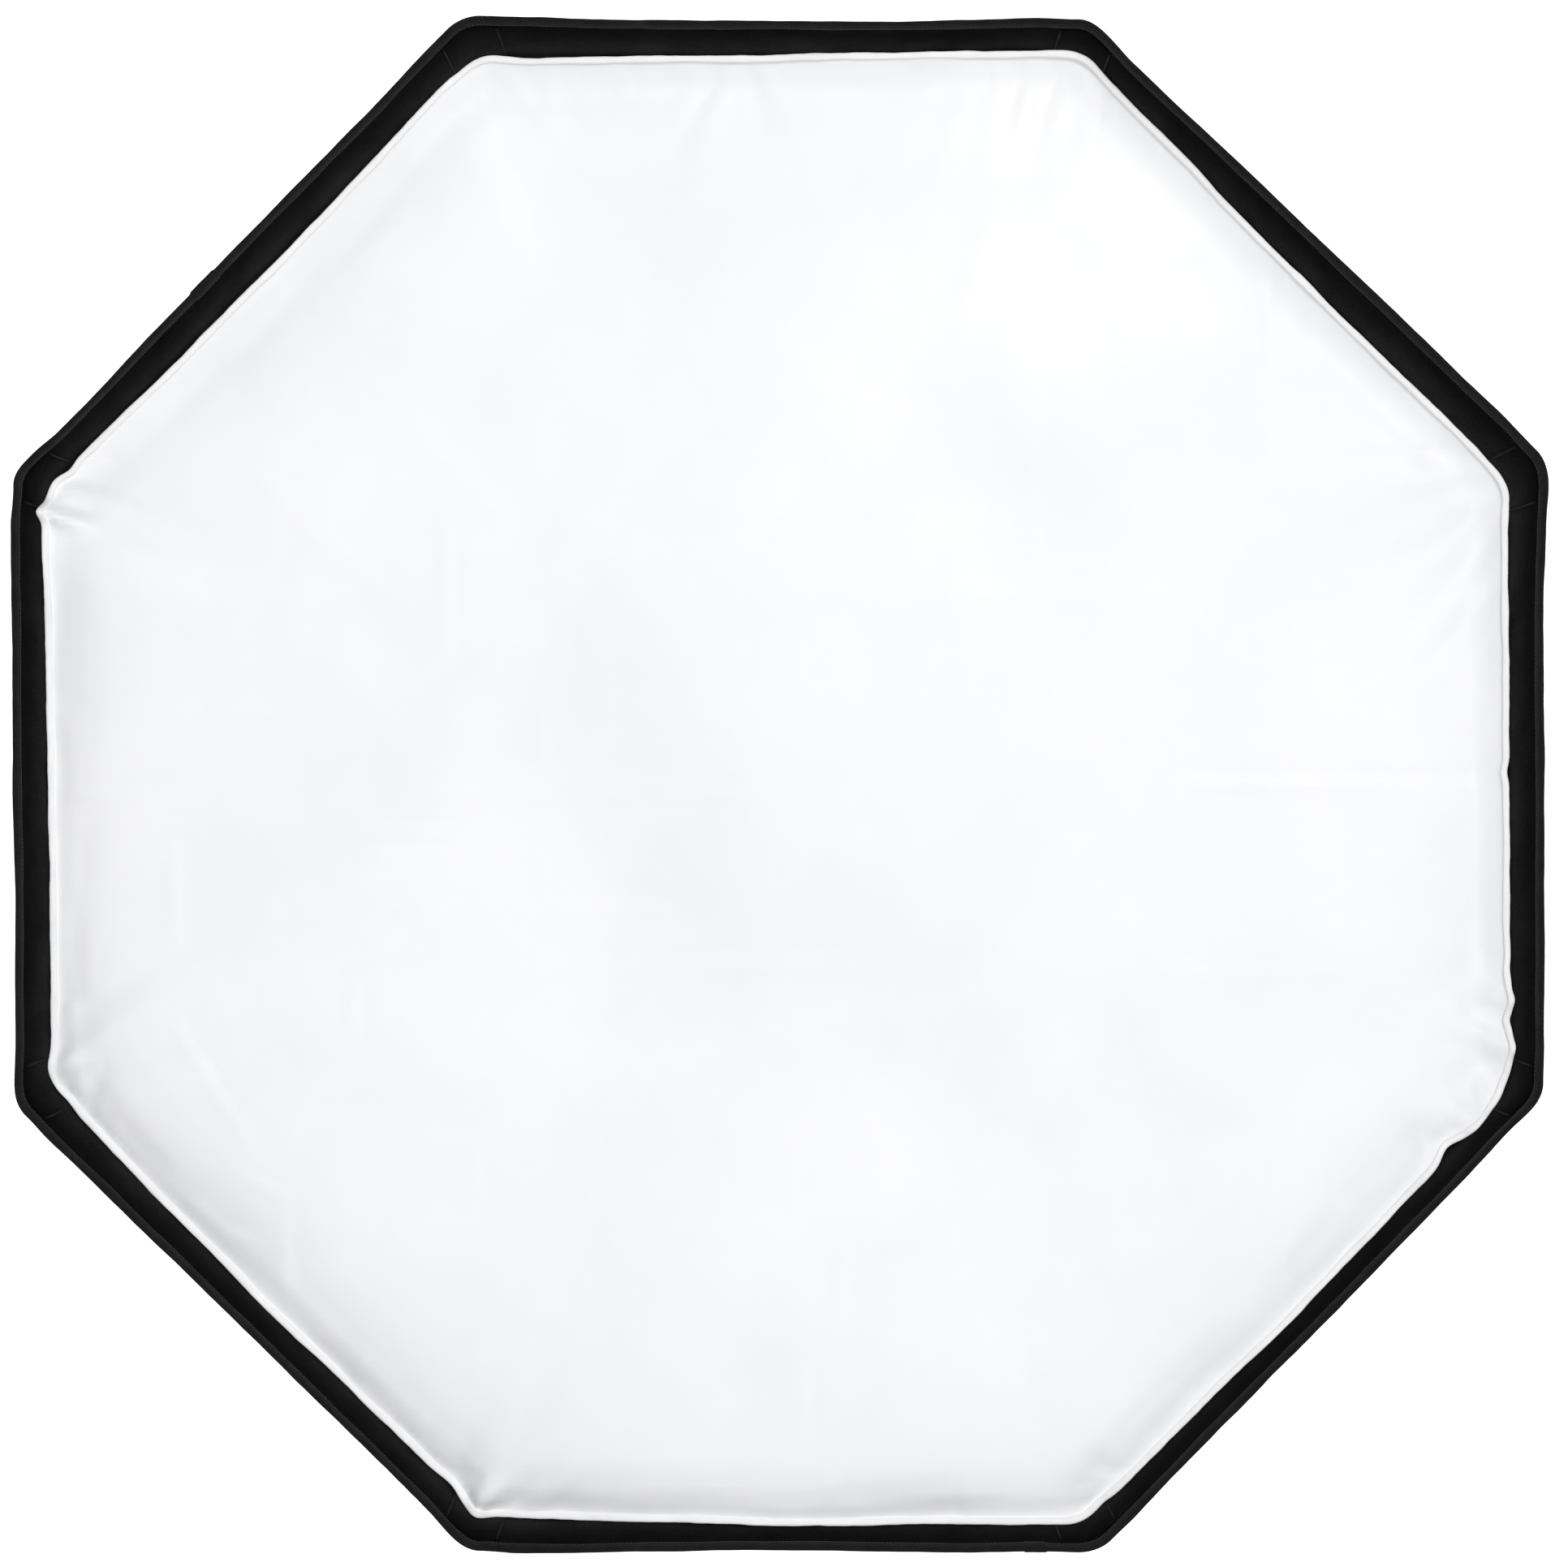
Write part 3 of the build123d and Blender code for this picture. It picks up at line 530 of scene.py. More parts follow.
velvet = Paint("black_loop_velvet", Roughness=0.97, Specular_IOR_Level=0.015, Sheen_Weight=0.006,
               Sheen_Roughness=0.6)
nap = velvet.noise(420, 3, 0.65)
pile = velvet.math("ADD", velvet.math("MULTIPLY", velvet.noise(28, 4), 0.6), velvet.math("MULTIPLY", nap, 0.4))
# painted light spill: the velvet's colour turns lighter towards the diffuser, standing in for light that the white
# cloth throws onto the pile
plain_pile_colour = velvet.ramp(pile, (0.0016, 0.0016, 0.0018), (0.0056, 0.0056, 0.006), 0.3, 0.7)
painted_spill_colour = velvet.ramp(pile, (0.008, 0.008, 0.0085), (0.026, 0.026, 0.0275), 0.3, 0.7)
axis = velvet.node("SeparateXYZ")
velvet.link(velvet.object, axis.inputs["Vector"])
# painted light spill mask: 0 at 503 mm deep, rising to 1 at 462 mm, next to the diffuser
near_diffuser_spill = velvet.node("MapRange")
near_diffuser_spill.interpolation_type = "SMOOTHSTEP"
near_diffuser_spill.inputs["From Min"].default_value, near_diffuser_spill.inputs["From Max"].default_value = -0.503, -0.462
velvet.link(axis.outputs["Y"], near_diffuser_spill.inputs["Value"])
blend = velvet.node("Mix", data_type="RGBA")
velvet.link(near_diffuser_spill.outputs["Result"], blend.inputs[0])
velvet.link(plain_pile_colour, blend.inputs[6])
velvet.link(painted_spill_colour, blend.inputs[7])
velvet.color(blend.outputs[2])
velvet.bump((nap, 0.7, 0.0005), (velvet.noise(60, 3), 0.5, 0.0012))

nylon = woven("black_nylon", (0.008, 0.008, 0.0088), (0.02, 0.02, 0.0215), 0.55, 0.06, (0.8, 0.82, 0.9, 1),
              0.002, 0.00012)
tape = Paint("black_binding_tape", Roughness=0.75, Sheen_Weight=0.02, Sheen_Roughness=0.5,
             Specular_IOR_Level=0.12)
ribs = tape.waves(420, "X", 0.4, tape.uv)
tape.color(tape.ramp(tape.math("ADD", tape.math("MULTIPLY", ribs, 0.3), tape.math("MULTIPLY", tape.noise(60, 4), 0.7)),
                     (0.004, 0.004, 0.0045), (0.014, 0.014, 0.015), 0.3, 0.8))
tape.bump((ribs, 0.6, 0.00025), (tape.noise(300, 3), 0.4, 0.0003))
thread_black = thread("black_thread", (0.018, 0.018, 0.019), (0.05, 0.05, 0.052), Sheen_Weight=0.1)
thread_white = thread("white_thread", (0.7, 0.7, 0.72), (0.85, 0.85, 0.86))

silver = Paint("silver_coating", Metallic=0.85, Roughness=0.42, Base_Color=(0.7, 0.71, 0.73))
cells = silver.voronoi(150)
silver.color(silver.ramp(silver.noise(12, 4), (0.56, 0.57, 0.59), (0.8, 0.81, 0.83), 0.3, 0.7))
silver.rough(silver.span(silver.noise(40, 3), 0.34, 0.52))
silver.bump((cells, 0.3, 0.0006), (silver.noise(30, 4), 0.3, 0.0012))

elastic_black = woven("black_elastic", (0.012, 0.012, 0.013), (0.03, 0.03, 0.032), 0.8, 0.2, (1, 1, 1, 1),
                      0.0012, 0.0002, 40)
heavy_black = woven("black_canvas", (0.014, 0.014, 0.015), (0.034, 0.034, 0.036), 0.7, 0.15, (1, 1, 1, 1),
                    0.0016, 0.0003, 24)
webbing = woven("black_webbing", (0.012, 0.012, 0.013), (0.04, 0.04, 0.042), 0.7, 0.15, (1, 1, 1, 1), 0.0022,
                0.0004, 50)
thin_white = woven("white_baffle_cloth", (0.84, 0.845, 0.86), (0.93, 0.935, 0.945), 0.6, 0.1, (1, 1, 1, 1),
                   0.0016, 0.0001, 8)
elastic_white = woven("white_elastic", (0.68, 0.68, 0.7), (0.86, 0.86, 0.87), 0.7, 0.15, (1, 1, 1, 1), 0.0014,
                      0.0002, 40)
hooks = woven("white_hook_tape", (0.6, 0.6, 0.62), (0.88, 0.88, 0.9), 0.6, 0.0, (1, 1, 1, 1), 0.0016, 0.0006,
              60)

anodised = metal("black_anodised", (0.012, 0.012, 0.013), (0.03, 0.03, 0.033), 0.34, turned=380, metallic=0.75)
satin_alu = metal("satin_aluminium", (0.5, 0.505, 0.52), (0.66, 0.665, 0.68), 0.32, turned=520)
zinc = metal("zinc_plate", (0.42, 0.425, 0.43), (0.62, 0.62, 0.61), 0.3)
oxide = metal("black_oxide_steel", (0.02, 0.02, 0.021), (0.05, 0.05, 0.052), 0.38, metallic=0.9)
bright = metal("bright_ferrule", (0.55, 0.55, 0.56), (0.72, 0.72, 0.73), 0.22)

glass_rod = moulded("black_fibreglass", (0.008, 0.008, 0.009), (0.03, 0.03, 0.032), (90, 4), (300, 0.3, 0.0001),
                    (1, 3, 1), Roughness=0.36, Coat_Weight=0.3, Coat_Roughness=0.2)
rubber = moulded("black_rubber", (0.012, 0.012, 0.012), (0.03, 0.03, 0.03), (120, 4), (600, 0.4, 0.0001),
                 Roughness=0.7, Specular_IOR_Level=0.35)
acetal = moulded("white_acetal", (0.72, 0.72, 0.73), (0.82, 0.82, 0.83), (80, 3), (500, 0.2, 0.00008),
                 Roughness=0.3, Coat_Weight=0.1)


def finish_piece(obj, paint, body, replaced=()):
    """Material, body, and the CAD nodes that the piece stands for."""
    mat = paint.mat if isinstance(paint, Paint) else paint
    obj.data.materials.clear()
    obj.data.materials.append(mat)
    if replaced:
        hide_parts(*replaced)
    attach(obj, body)
    return obj


CAD_PAINT = {
    "bayonet_insert": zinc, "bayonet_lugs": zinc, "lug_screws": oxide, "speed_ring": anodised,
    "retaining_ring": satin_alu, "retaining_screws": oxide, "rod_sockets": zinc, "socket_screws": oxide,
    "rod_ferrules": bright, "rod_tip_caps": rubber.mat, "strap_buckles": acetal.mat,
    **{f"rod_{k}": glass_rod.mat for k in range(1, 9)},
    **{f"lock_knob_{k}": anodised for k in range(1, 5)},
}
for node, mat in CAD_PAINT.items():
    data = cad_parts[node].data
    data.materials.clear()
    data.materials.append(mat)


# ------------------------------------------------------------------ the lip
LIP = stations(84, 12)
LIP_S = perimeter(LIP)


# how the flexed frame pulls the hem off a true octagon, per side: start, end and bow, in millimetres
HEM_STRAY = [(-0.5, 1.0, -1.5), (5.5, -5.5, 0.5), (0.5, 1.5, -3.8), (1.5, -6.5, 0.0),
             (1.5, -3.0, 0.0), (1.5, -4.5, -0.4), (2.0, 0.5, -0.8), (3.0, -4.5, 0.8)]
HEM_SPREAD = 1.6


def lip_offset(st, s, share):
    """How far the soft lip stands out from the straight octagon, from 0 at the seam to 1 at the hem."""
    k = st[:, 0].astype(int)
    table = np.array(HEM_STRAY)
    before, after = table[(k - 1) % 8, 1], table[(k + 1) % 8, 0]
    along = (st[:, 1] + 1) / 2
    line = table[k, 0] * (1 - along) + table[k, 1] * along
    corner = 0.3 * smoothstep(0.86, 1.0, np.abs(st[:, 1]))
    line = line * (1 - corner) + np.where(st[:, 1] < 0, before, after) * corner
    line = line + 0.4 * (after - table[k, 1]) * smoothstep(0, 1, st[:, 2])
    straight = 1 - st[:, 1] ** 2
    slow = 1.2 * wave(s, 26, 11) + 0.5 * wave(s, 70, 12)
    flutter = slow * np.clip(share, 0, 1) ** 0.7 * smoothstep(0.0, 0.6, straight)
    return (line + table[k, 2] * straight + HEM_SPREAD) * share + flutter


def lip_grid(st, s, depths, inset, ripple=0.0, seed=20):
    """Grid of points on the lip at an inset from its outer face."""
    columns = []
    for depth in depths:
        share = (depth - SEAM_DEPTH) / LIP_LENGTH
        apothem = SEAM_APOTHEM + (depth - SEAM_DEPTH) * LIP_SLOPE - inset
        point, normal = outline(st, apothem, CORNER - inset)
        off = lip_offset(st, s, share)
        if ripple:
            off = off + ripple * lattice(s / PERIMETER * 160, np.full_like(s, depth / 22), seed, 160) * math.sin(
                math.pi * min(max(share, 0), 1)
            )
        xz = point + normal * off[:, None]
        edge = 0.9 * wave(s, 34, 14) * share**2
        columns.append(at_depth(xz, depth + edge))
    return np.stack(columns, 1)


# what the lip's pieces are cut to: eight flat trapezoids, and one long strip that loses a little at each corner
depth_steps = np.linspace(SEAM_DEPTH, HEM_DEPTH, 15)
for k in range(8):
    start, stop = k * 96 - 6, k * 96 + 91
    index = np.arange(start, stop) % len(LIP)
    outer = lip_grid(LIP[index], LIP_S[index], depth_steps, 0.0, 0.5)
    inner = lip_grid(LIP[index], LIP_S[index], depth_steps, 1.2, 0.5)
    panel = cloth(f"lip_panel_cloth_{k + 1}", outer, inner, False)
    finish_piece(panel, nylon, "softbox", [f"lip_panel_{k + 1}"])

lining_depths = np.linspace(SEAM_DEPTH + 0.3, HEM_DEPTH - 1.0, 15)
lining = cloth(
    "lip_velvet", lip_grid(LIP, LIP_S, lining_depths, 1.35, 0.5), lip_grid(LIP, LIP_S, lining_depths, 2.4, 0.8), True
)
finish_piece(lining, velvet, "softbox", ["lip_lining"])

# hem binding: folded tape over the lip's front edge
BIND = [
    (0.3, -11.0), (0.7, -10.6), (0.9, -9.0), (1.0, -6.0), (1.0, -3.0), (0.85, -0.6), (0.3, 0.6), (-0.5, 1.0),
    (-1.5, 0.95), (-2.5, 0.5), (-3.05, -0.7), (-3.2, -2.2), (-3.2, -4.0), (-3.1, -5.6), (-2.95, -6.5), (-2.6, -6.9),
    (-2.42, -6.3), (-2.4, -4.0), (-2.4, -0.8), (-1.2, -0.3), (0.0, -0.8), (0.05, -5.0), (0.05, -10.0),
]
SECTION = np.array(BIND)


# where the tape's end laps over its start, and a joined place: place round the lip and length
TAPE_LAPS = [(3 * SIDE_LENGTH + 30.0, 24.0), (6 * SIDE_LENGTH + 196.0, 16.0)]


def hem_rings(st, s):
    """The binding's section carried round the lip, puffed and pinched a little along its length."""
    rings = []
    lap = sum((s > start) & (s < start + length) for start, length in TAPE_LAPS)
    for a, b in SECTION:
        depth = HEM_DEPTH + b
        share = (depth - SEAM_DEPTH) / LIP_LENGTH
        mid = -1.2
        puff = 1 + 0.18 * wave(s, 110, 31) + 0.1 * wave(s, 330, 32)
        side = mid + (a - mid) * puff * (1 + 0.42 * lap)
        apothem = SEAM_APOTHEM + (depth - SEAM_DEPTH) * LIP_SLOPE
        point, normal = outline(st, apothem, CORNER)
        off = lip_offset(st, s, share) + side
        xz = point + normal * off[:, None]
        edge = 0.9 * wave(s, 34, 14) * share**2
        long_edge = (0.7 * wave(s, 150, 33)) * (b < -8.5)
        rings.append(at_depth(xz, depth + edge + long_edge))
    return np.stack(rings, 1)


HEM = stations(220, 24)
HEM_S = perimeter(HEM)
hem = hem_rings(HEM, HEM_S)
hem_uv = np.stack(np.broadcast_arrays(HEM_S[:, None], np.arange(len(SECTION))[None, :] * 1.5), -1)
binding = ring_solid("hem_binding_tape", hem, hem_uv)
finish_piece(binding, tape, "softbox", ["hem_binding"])

# its two rows of stitches: inside and outside the lip, near the tape's edge
for label, column, tilt in (("inner", 13, -1.0), ("outer", 2, 1.0)):
    path = hem[:, column]
    points, tangent = resample(path, 3.4, True)
    _, normal = outline(HEM, 598.0, CORNER)
    outward = at_depth(normal, 0.0) * tilt
    at = np.linspace(0, len(HEM), len(points), endpoint=False)
    up = outward[np.round(at).astype(int) % len(HEM)]
    row = beads(f"hem_stitches_{label}", points + up * 0.12, tangent, up, 2.7, 0.55, 0.45)
    finish_piece(row, thread_black, "softbox")

# ------------------------------------------------------------------ the front diffuser
CLOTH_APOTHEM = 571.6
CLOTH_CORNER = 28.0
# the lining leans out toward the front, so an edge pressed on further out also stands further forward
LEAN = 1 / LIP_SLOPE
# how far the diffuser's edge strays from a true octagon, per side: start, middle and end, in millimetres
EDGE_SHIFT = [(2.8, 0.8, -0.8), (2.6, -0.4, 1.4), (3.2, 0.4, -3.0), (3.0, -3.4, -2.2),
              (5.0, 0.8, -1.2), (1.4, 2.2, 0.0), (3.0, 7.4, 5.6), (6.4, 7.4, 2.4)]
# pinches and tongues of the edge: place in sides round the outline, how far out, half width
EDGE_TUCKS = [(7.36, -4.6, 12.0), (7.425, 1.2, 12.0), (7.5, -3.4, 13.0), (7.56, 1.8, 8.0), (7.605, -1.8, 6.0),
              (7.64, 1.7, 7.0), (7.69, -1.0, 8.0), (3.47, -4.2, 11.0), (3.545, 4.4, 7.0), (5.5, 2.6, 8.0),
              (5.44, -1.6, 12.0), (4.53, -1.2, 13.0), (4.47, 1.2, 10.0), (6.53, -1.6, 12.0), (0.02, -1.6, 7.0)]


def edge_stray(x, z):
    """How far the diffuser's edge strays at points (x, z), as pressed on and by its own waves, and its rise."""
    k, a, b = sides_of(x, z)
    share = np.clip(b / (a * T22), -1, 1)
    place = (k + share / 2) % 8
    table = np.array(EDGE_SHIFT)
    kk = k.astype(int) % 8
    low, mid, high = table[kk, 0], table[kk, 1], table[kk, 2]
    before, after = table[(kk - 1) % 8, 2], table[(kk + 1) % 8, 0]
    slow = np.where(share < 0, low * -share + mid * (1 + share), mid * (1 - share) + high * share)
    corner = 0.5 * smoothstep(0.82, 1.0, np.abs(share))
    slow = slow * (1 - corner) + np.where(share < 0, before, after) * corner
    s = place * SIDE_LENGTH
    quick = 0.8 * wave(s, 48, 41) + 0.4 * wave(s, 120, 42)
    for centre, out, width in EDGE_TUCKS:
        away = ((place - centre + 4) % 8 - 4) * SIDE_LENGTH
        quick += out * np.exp(-((away / width) ** 2))
    st = places_of(x, z, CLOTH_APOTHEM, CLOTH_CORNER)
    depth_share = np.clip((15 + LEAN * slow) / LIP_LENGTH, 0.15, 0.7)
    lining_stray = lip_offset(st, perimeter(st), depth_share)
    rise = LEAN * (slow + np.maximum(quick, 0) + 0.3 * np.minimum(quick, 0) - lining_stray)
    return slow, quick, np.maximum(rise, -0.8)


# creases left by folding: ends in millimetres from the centre (x, z), height, half width
CREASE_WIDTH, CREASE_HEIGHT = 0.85, 1.5
CREASES = [
    ((-280, -8), (-25, -7), 1.0, 7), ((-450, 10), (-388, 12), 0.7, 6), ((-330, -37), (-250, -38), 0.6, 6),
    ((-330, -56), (-255, -57), 0.7, 7), ((-312, -101), (-83, -98), 0.9, 8),
    ((-340, -145), (-272, -146), 0.8, 7), ((-190, -146), (57, -143), 0.9, 8), ((-495, 55), (-387, 57), 0.6, 7),
    ((330, 1), (565, 0), 1.0, 7), ((-572, -6), (-500, -8), 0.8, 6), ((-478, -45), (-476, -136), 0.8, 7),
    ((-387, -332), (-388, -402), 0.7, 6), ((-335, -154), (-336, -200), 0.8, 6),
    ((-264, 210), (-262, 105), 0.8, 7), ((-240, -280), (-239, -340), 0.8, 6),
    ((-240, -415), (-239, -460), 0.6, 6), ((-190, 57), (-189, 11), 0.6, 6),
    ((-148, -275), (-147, -340), 0.8, 6), ((9, -275), (10, -340), 0.6, 6), ((19, -458), (18, -530), 0.9, 6),
    ((51, -363), (50, -428), 0.7, 6), ((184, -428), (185, -505), 0.9, 6), ((382, 412), (381, 310), 0.9, 7),
    ((401, -352), (400, -410), 0.7, 6), ((445, 146), (446, 106), 0.6, 6), ((-480, -185), (-413, -287), 1.0, 6),
    ((-426, -305), (-385, -325), 0.8, 5), ((-438, -350), (-413, -360), 0.7, 5), ((60, 480), (230, 482), 0.5, 8),
    ((-420, 250), (-300, 140), 0.5, 10), ((-330, 330), (-210, 200), 0.45, 11),
    ((-120, 420), (-40, 300), 0.4, 11), ((120, 150), (320, 152), 0.4, 9), ((200, 300), (202, 180), 0.45, 8),
    ((300, -150), (470, -148), 0.5, 8),
]


# folds that run in from a corner: side, place along it, length, half width, height, lean
CORNER_FOLDS = [
    (4, -0.93, 95, 4.5, -2.6, 0.15), (4, -0.97, 60, 4.0, 2.6, 0.35), (4, -0.88, 110, 7.0, 1.9, -0.1),
    (3, 0.97, 50, 5.0, 2.2, -0.3), (2, -0.99, 150, 5.0, 1.9, 0.35), (2, -0.93, 120, 4.5, -1.9, 0.22),
    (2, -0.87, 170, 6.0, 1.8, 0.3), (2, -0.8, 90, 4.0, -1.5, 0.1), (2, -0.74, 60, 5.0, 1.5, 0.1),
    (2, -0.66, 110, 7.0, 1.0, 0.35), (1, 0.96, 100, 6.0, 1.6, -0.55), (1, 0.88, 70, 5.0, -1.4, -0.7),
    (1, -0.93, 60, 5.0, 1.7, 0.7), (1, -0.84, 70, 6.0, -1.3, 0.9), (0, 0.93, 60, 4.5, 1.8, -0.9),
    (0, 0.84, 55, 4.5, -1.6, -1.0), (0, 0.75, 60, 5.0, 1.6, -1.1), (0, 0.66, 60, 5.5, -1.2, -1.1),
    (0, 0.55, 50, 5.0, 1.1, -1.0), (0, 0.0, 90, 3.2, -1.5, 0.02), (7, 0.72, 42, 6.0, 2.4, 0.3),
    (7, 0.66, 38, 5.0, -1.8, 0.35), (7, 0.93, 46, 5.0, 2.6, 0.5), (7, 0.87, 46, 4.5, -2.2, 0.45),
    (0, -0.96, 40, 5.0, -2.3, 0.5), (0, -0.88, 44, 5.5, 1.9, 0.7), (0, -0.72, 40, 5.0, 1.4, 0.8),
    (0, -0.62, 44, 5.0, -1.2, 0.9), (7, -0.93, 34, 4.0, 2.0, -0.6), (6, 0.97, 40, 5.0, -1.4, -0.4),
    (6, 0.86, 60, 6.0, 1.0, -0.3), (6, 0.1, 60, 6.0, 1.1, 0.7), (6, -0.97, 42, 4.0, 3.0, 0.6),
    (6, -0.9, 40, 5.0, -2.2, 0.8), (6, -0.8, 70, 6.0, 1.6, 0.9), (5, 0.95, 60, 7.0, 1.9, 0.9),
    (5, 0.86, 60, 6.0, -1.5, 1.0), (5, -0.93, 50, 4.5, 2.0, -0.5), (5, -0.86, 50, 5.0, -1.7, -0.4),
    (4, 0.94, 80, 6.0, 1.7, -0.7), (4, 0.85, 90, 7.0, -1.2, -0.8), (3, -0.95, 60, 6.0, 1.2, 0.5),
    (2, 0.95, 70, 5.0, 1.5, -0.9), (2, 0.15, 60, 5.0, 1.6, 0.4), (2, 0.2, 60, 4.0, -1.4, 0.5),
    (2, 0.1, 50, 4.0, -1.3, -0.2), (2, 0.06, 70, 5.0, 1.1, -0.5),
]


def pucker_list():
    """Gathers that run in from the edge: side, place along it, length, half width, height, lean."""
    rng = np.random.default_rng(71)
    made = list(CORNER_FOLDS)
    for k in range(8):
        for _ in range(26):
            a = rng.uniform(-1, 1)
            near = abs(a) ** 3
            made.append((k, a, rng.uniform(14, 34) + 30 * near, rng.uniform(2.8, 5.6), rng.uniform(0.4, 1.0)
                         * (0.6 + near) * rng.choice([-1, 1]), rng.uniform(-0.5, 0.5)))
    return made


PUCKERS = pucker_list()


# the sheet bellies forward from its edge by PILLOW, most of it within PILLOW_EDGE; its last RIM_WIDE turns forward
PILLOW, PILLOW_EDGE = 9.0, 42.0
RIM_RISE, RIM_WIDE = 12.3, 27.0
# how each side leaves its edge, from side 0: the share that dips into a groove, how far the sheet swells past it,
# and within what distance; where there is no groove the sheet starts BORDER_RISE higher, level with the hem
GROOVE = (1.0, 1.0, 1.0, 0.7, 0.1, 0.0, 0.0, 0.3)
BELLY = (0.0, 0.0, 0.0, 1.0, 3.6, 16.0, 9.0, 6.0)
BELLY_EDGE = (30.0, 30.0, 30.0, 30.0, 30.0, 58.0, 28.0, 30.0)
BORDER_RISE = 3.6


def round_the_sides(values, x, z):
    """Each side's own value along most of its length, eased into its neighbour's past the corner."""
    turn = np.degrees(np.arctan2(z, x)) % 360 / 45
    side = np.floor(turn).astype(int)
    share = smoothstep(0.2, 0.8, turn - side)
    values = np.array(values)
    return values[side % 8] * (1 - share) + values[(side + 1) % 8] * share


def sheet_relief(x, z, apothem):
    """Depth relief of the stretched sheet in millimetres at (x, z), positive towards the front."""
    k, a, b = sides_of(x, z)
    rim = apothem - a
    half = apothem * T22
    relief = 1.5 * lattice(x / 210 + 3.1, z / 170 + 7.7, 51) + 0.9 * lattice((x + z) / 120, (x - z) / 260, 52)
    relief += 0.35 * lattice((x - 0.6 * z) / 38, (x + z) / 150, 53) * smoothstep(-200, 260, z - x * 0.3)
    relief += 0.22 * lattice(x / 30, z / 46, 54)
    for (x0, z0), (x1, z1), height, width in CREASES:
        dx, dz = x1 - x0, z1 - z0
        length = math.hypot(dx, dz)
        ux, uz = dx / length, dz / length
        t = (x - x0) * ux + (z - z0) * uz
        width = width * CREASE_WIDTH
        wiggle = 1.4 * lattice(t / 45, np.full_like(t, height * 7), 61)
        q = -(x - x0) * uz + (z - z0) * ux + wiggle
        fade = smoothstep(-12, 18, t) * (1 - smoothstep(length - 18, length + 12, t))
        ridge = np.exp(-((q / width) ** 2)) * 0.8 - 0.6 * np.exp(-(((q - width * 1.1) / width) ** 2))
        relief += CREASE_HEIGHT * fade * height * ridge
    for side, share, length, width, height, lean in PUCKERS:
        mask = k == side
        if not mask.any():
            continue
        q = b[mask] - share * half - lean * rim[mask]
        spread = width * (1 + rim[mask] / length * 0.8)
        fade = np.exp(-((rim[mask] / length) ** 2)) * smoothstep(-1, 5, rim[mask])
        relief[mask] += height * fade * np.exp(-((q / spread) ** 2))
    relief += 1.15 * lattice(b / 75 + k * 3.7, rim / 12, 55) * np.exp(-(((rim - 12) / 22) ** 2))
    relief += PILLOW * (1 - np.exp(-rim / PILLOW_EDGE))
    groove, inward = round_the_sides(GROOVE, x, z), 1 - smoothstep(40, 420, rim)
    relief += round_the_sides(BELLY, x, z) * (1 - np.exp(-rim / round_the_sides(BELLY_EDGE, x, z))) * inward
    dip = np.clip(1 - rim / RIM_WIDE, 0, 1) ** 2
    return (relief * smoothstep(-4, 5, rim) + RIM_RISE * groove * dip
            + (RIM_RISE + BORDER_RISE) * (1 - groove) * inward)


def octagon_cut(bm, apothem, corner):
    """Cuts a flat grid in XZ to a rounded octagon."""
    cuts = []
    for k in range(8):
        a = math.radians(45 * k)
        cuts.append((math.cos(a), math.sin(a), apothem))
        for turn in (11.25, 22.5, 33.75):
            b = a + math.radians(turn)
            centre = (apothem - corner) / C22
            reach = centre * math.cos(b - a - HALF) + corner
            cuts.append((math.cos(b), math.sin(b), reach))
    for nx, nz, reach in cuts:
        geometry = bm.verts[:] + bm.edges[:] + bm.faces[:]
        bmesh.ops.bisect_plane(bm, geom=geometry, dist=1e-5, plane_co=(nx * reach, 0, nz * reach),
                               plane_no=(nx, 0, nz), clear_outer=True)


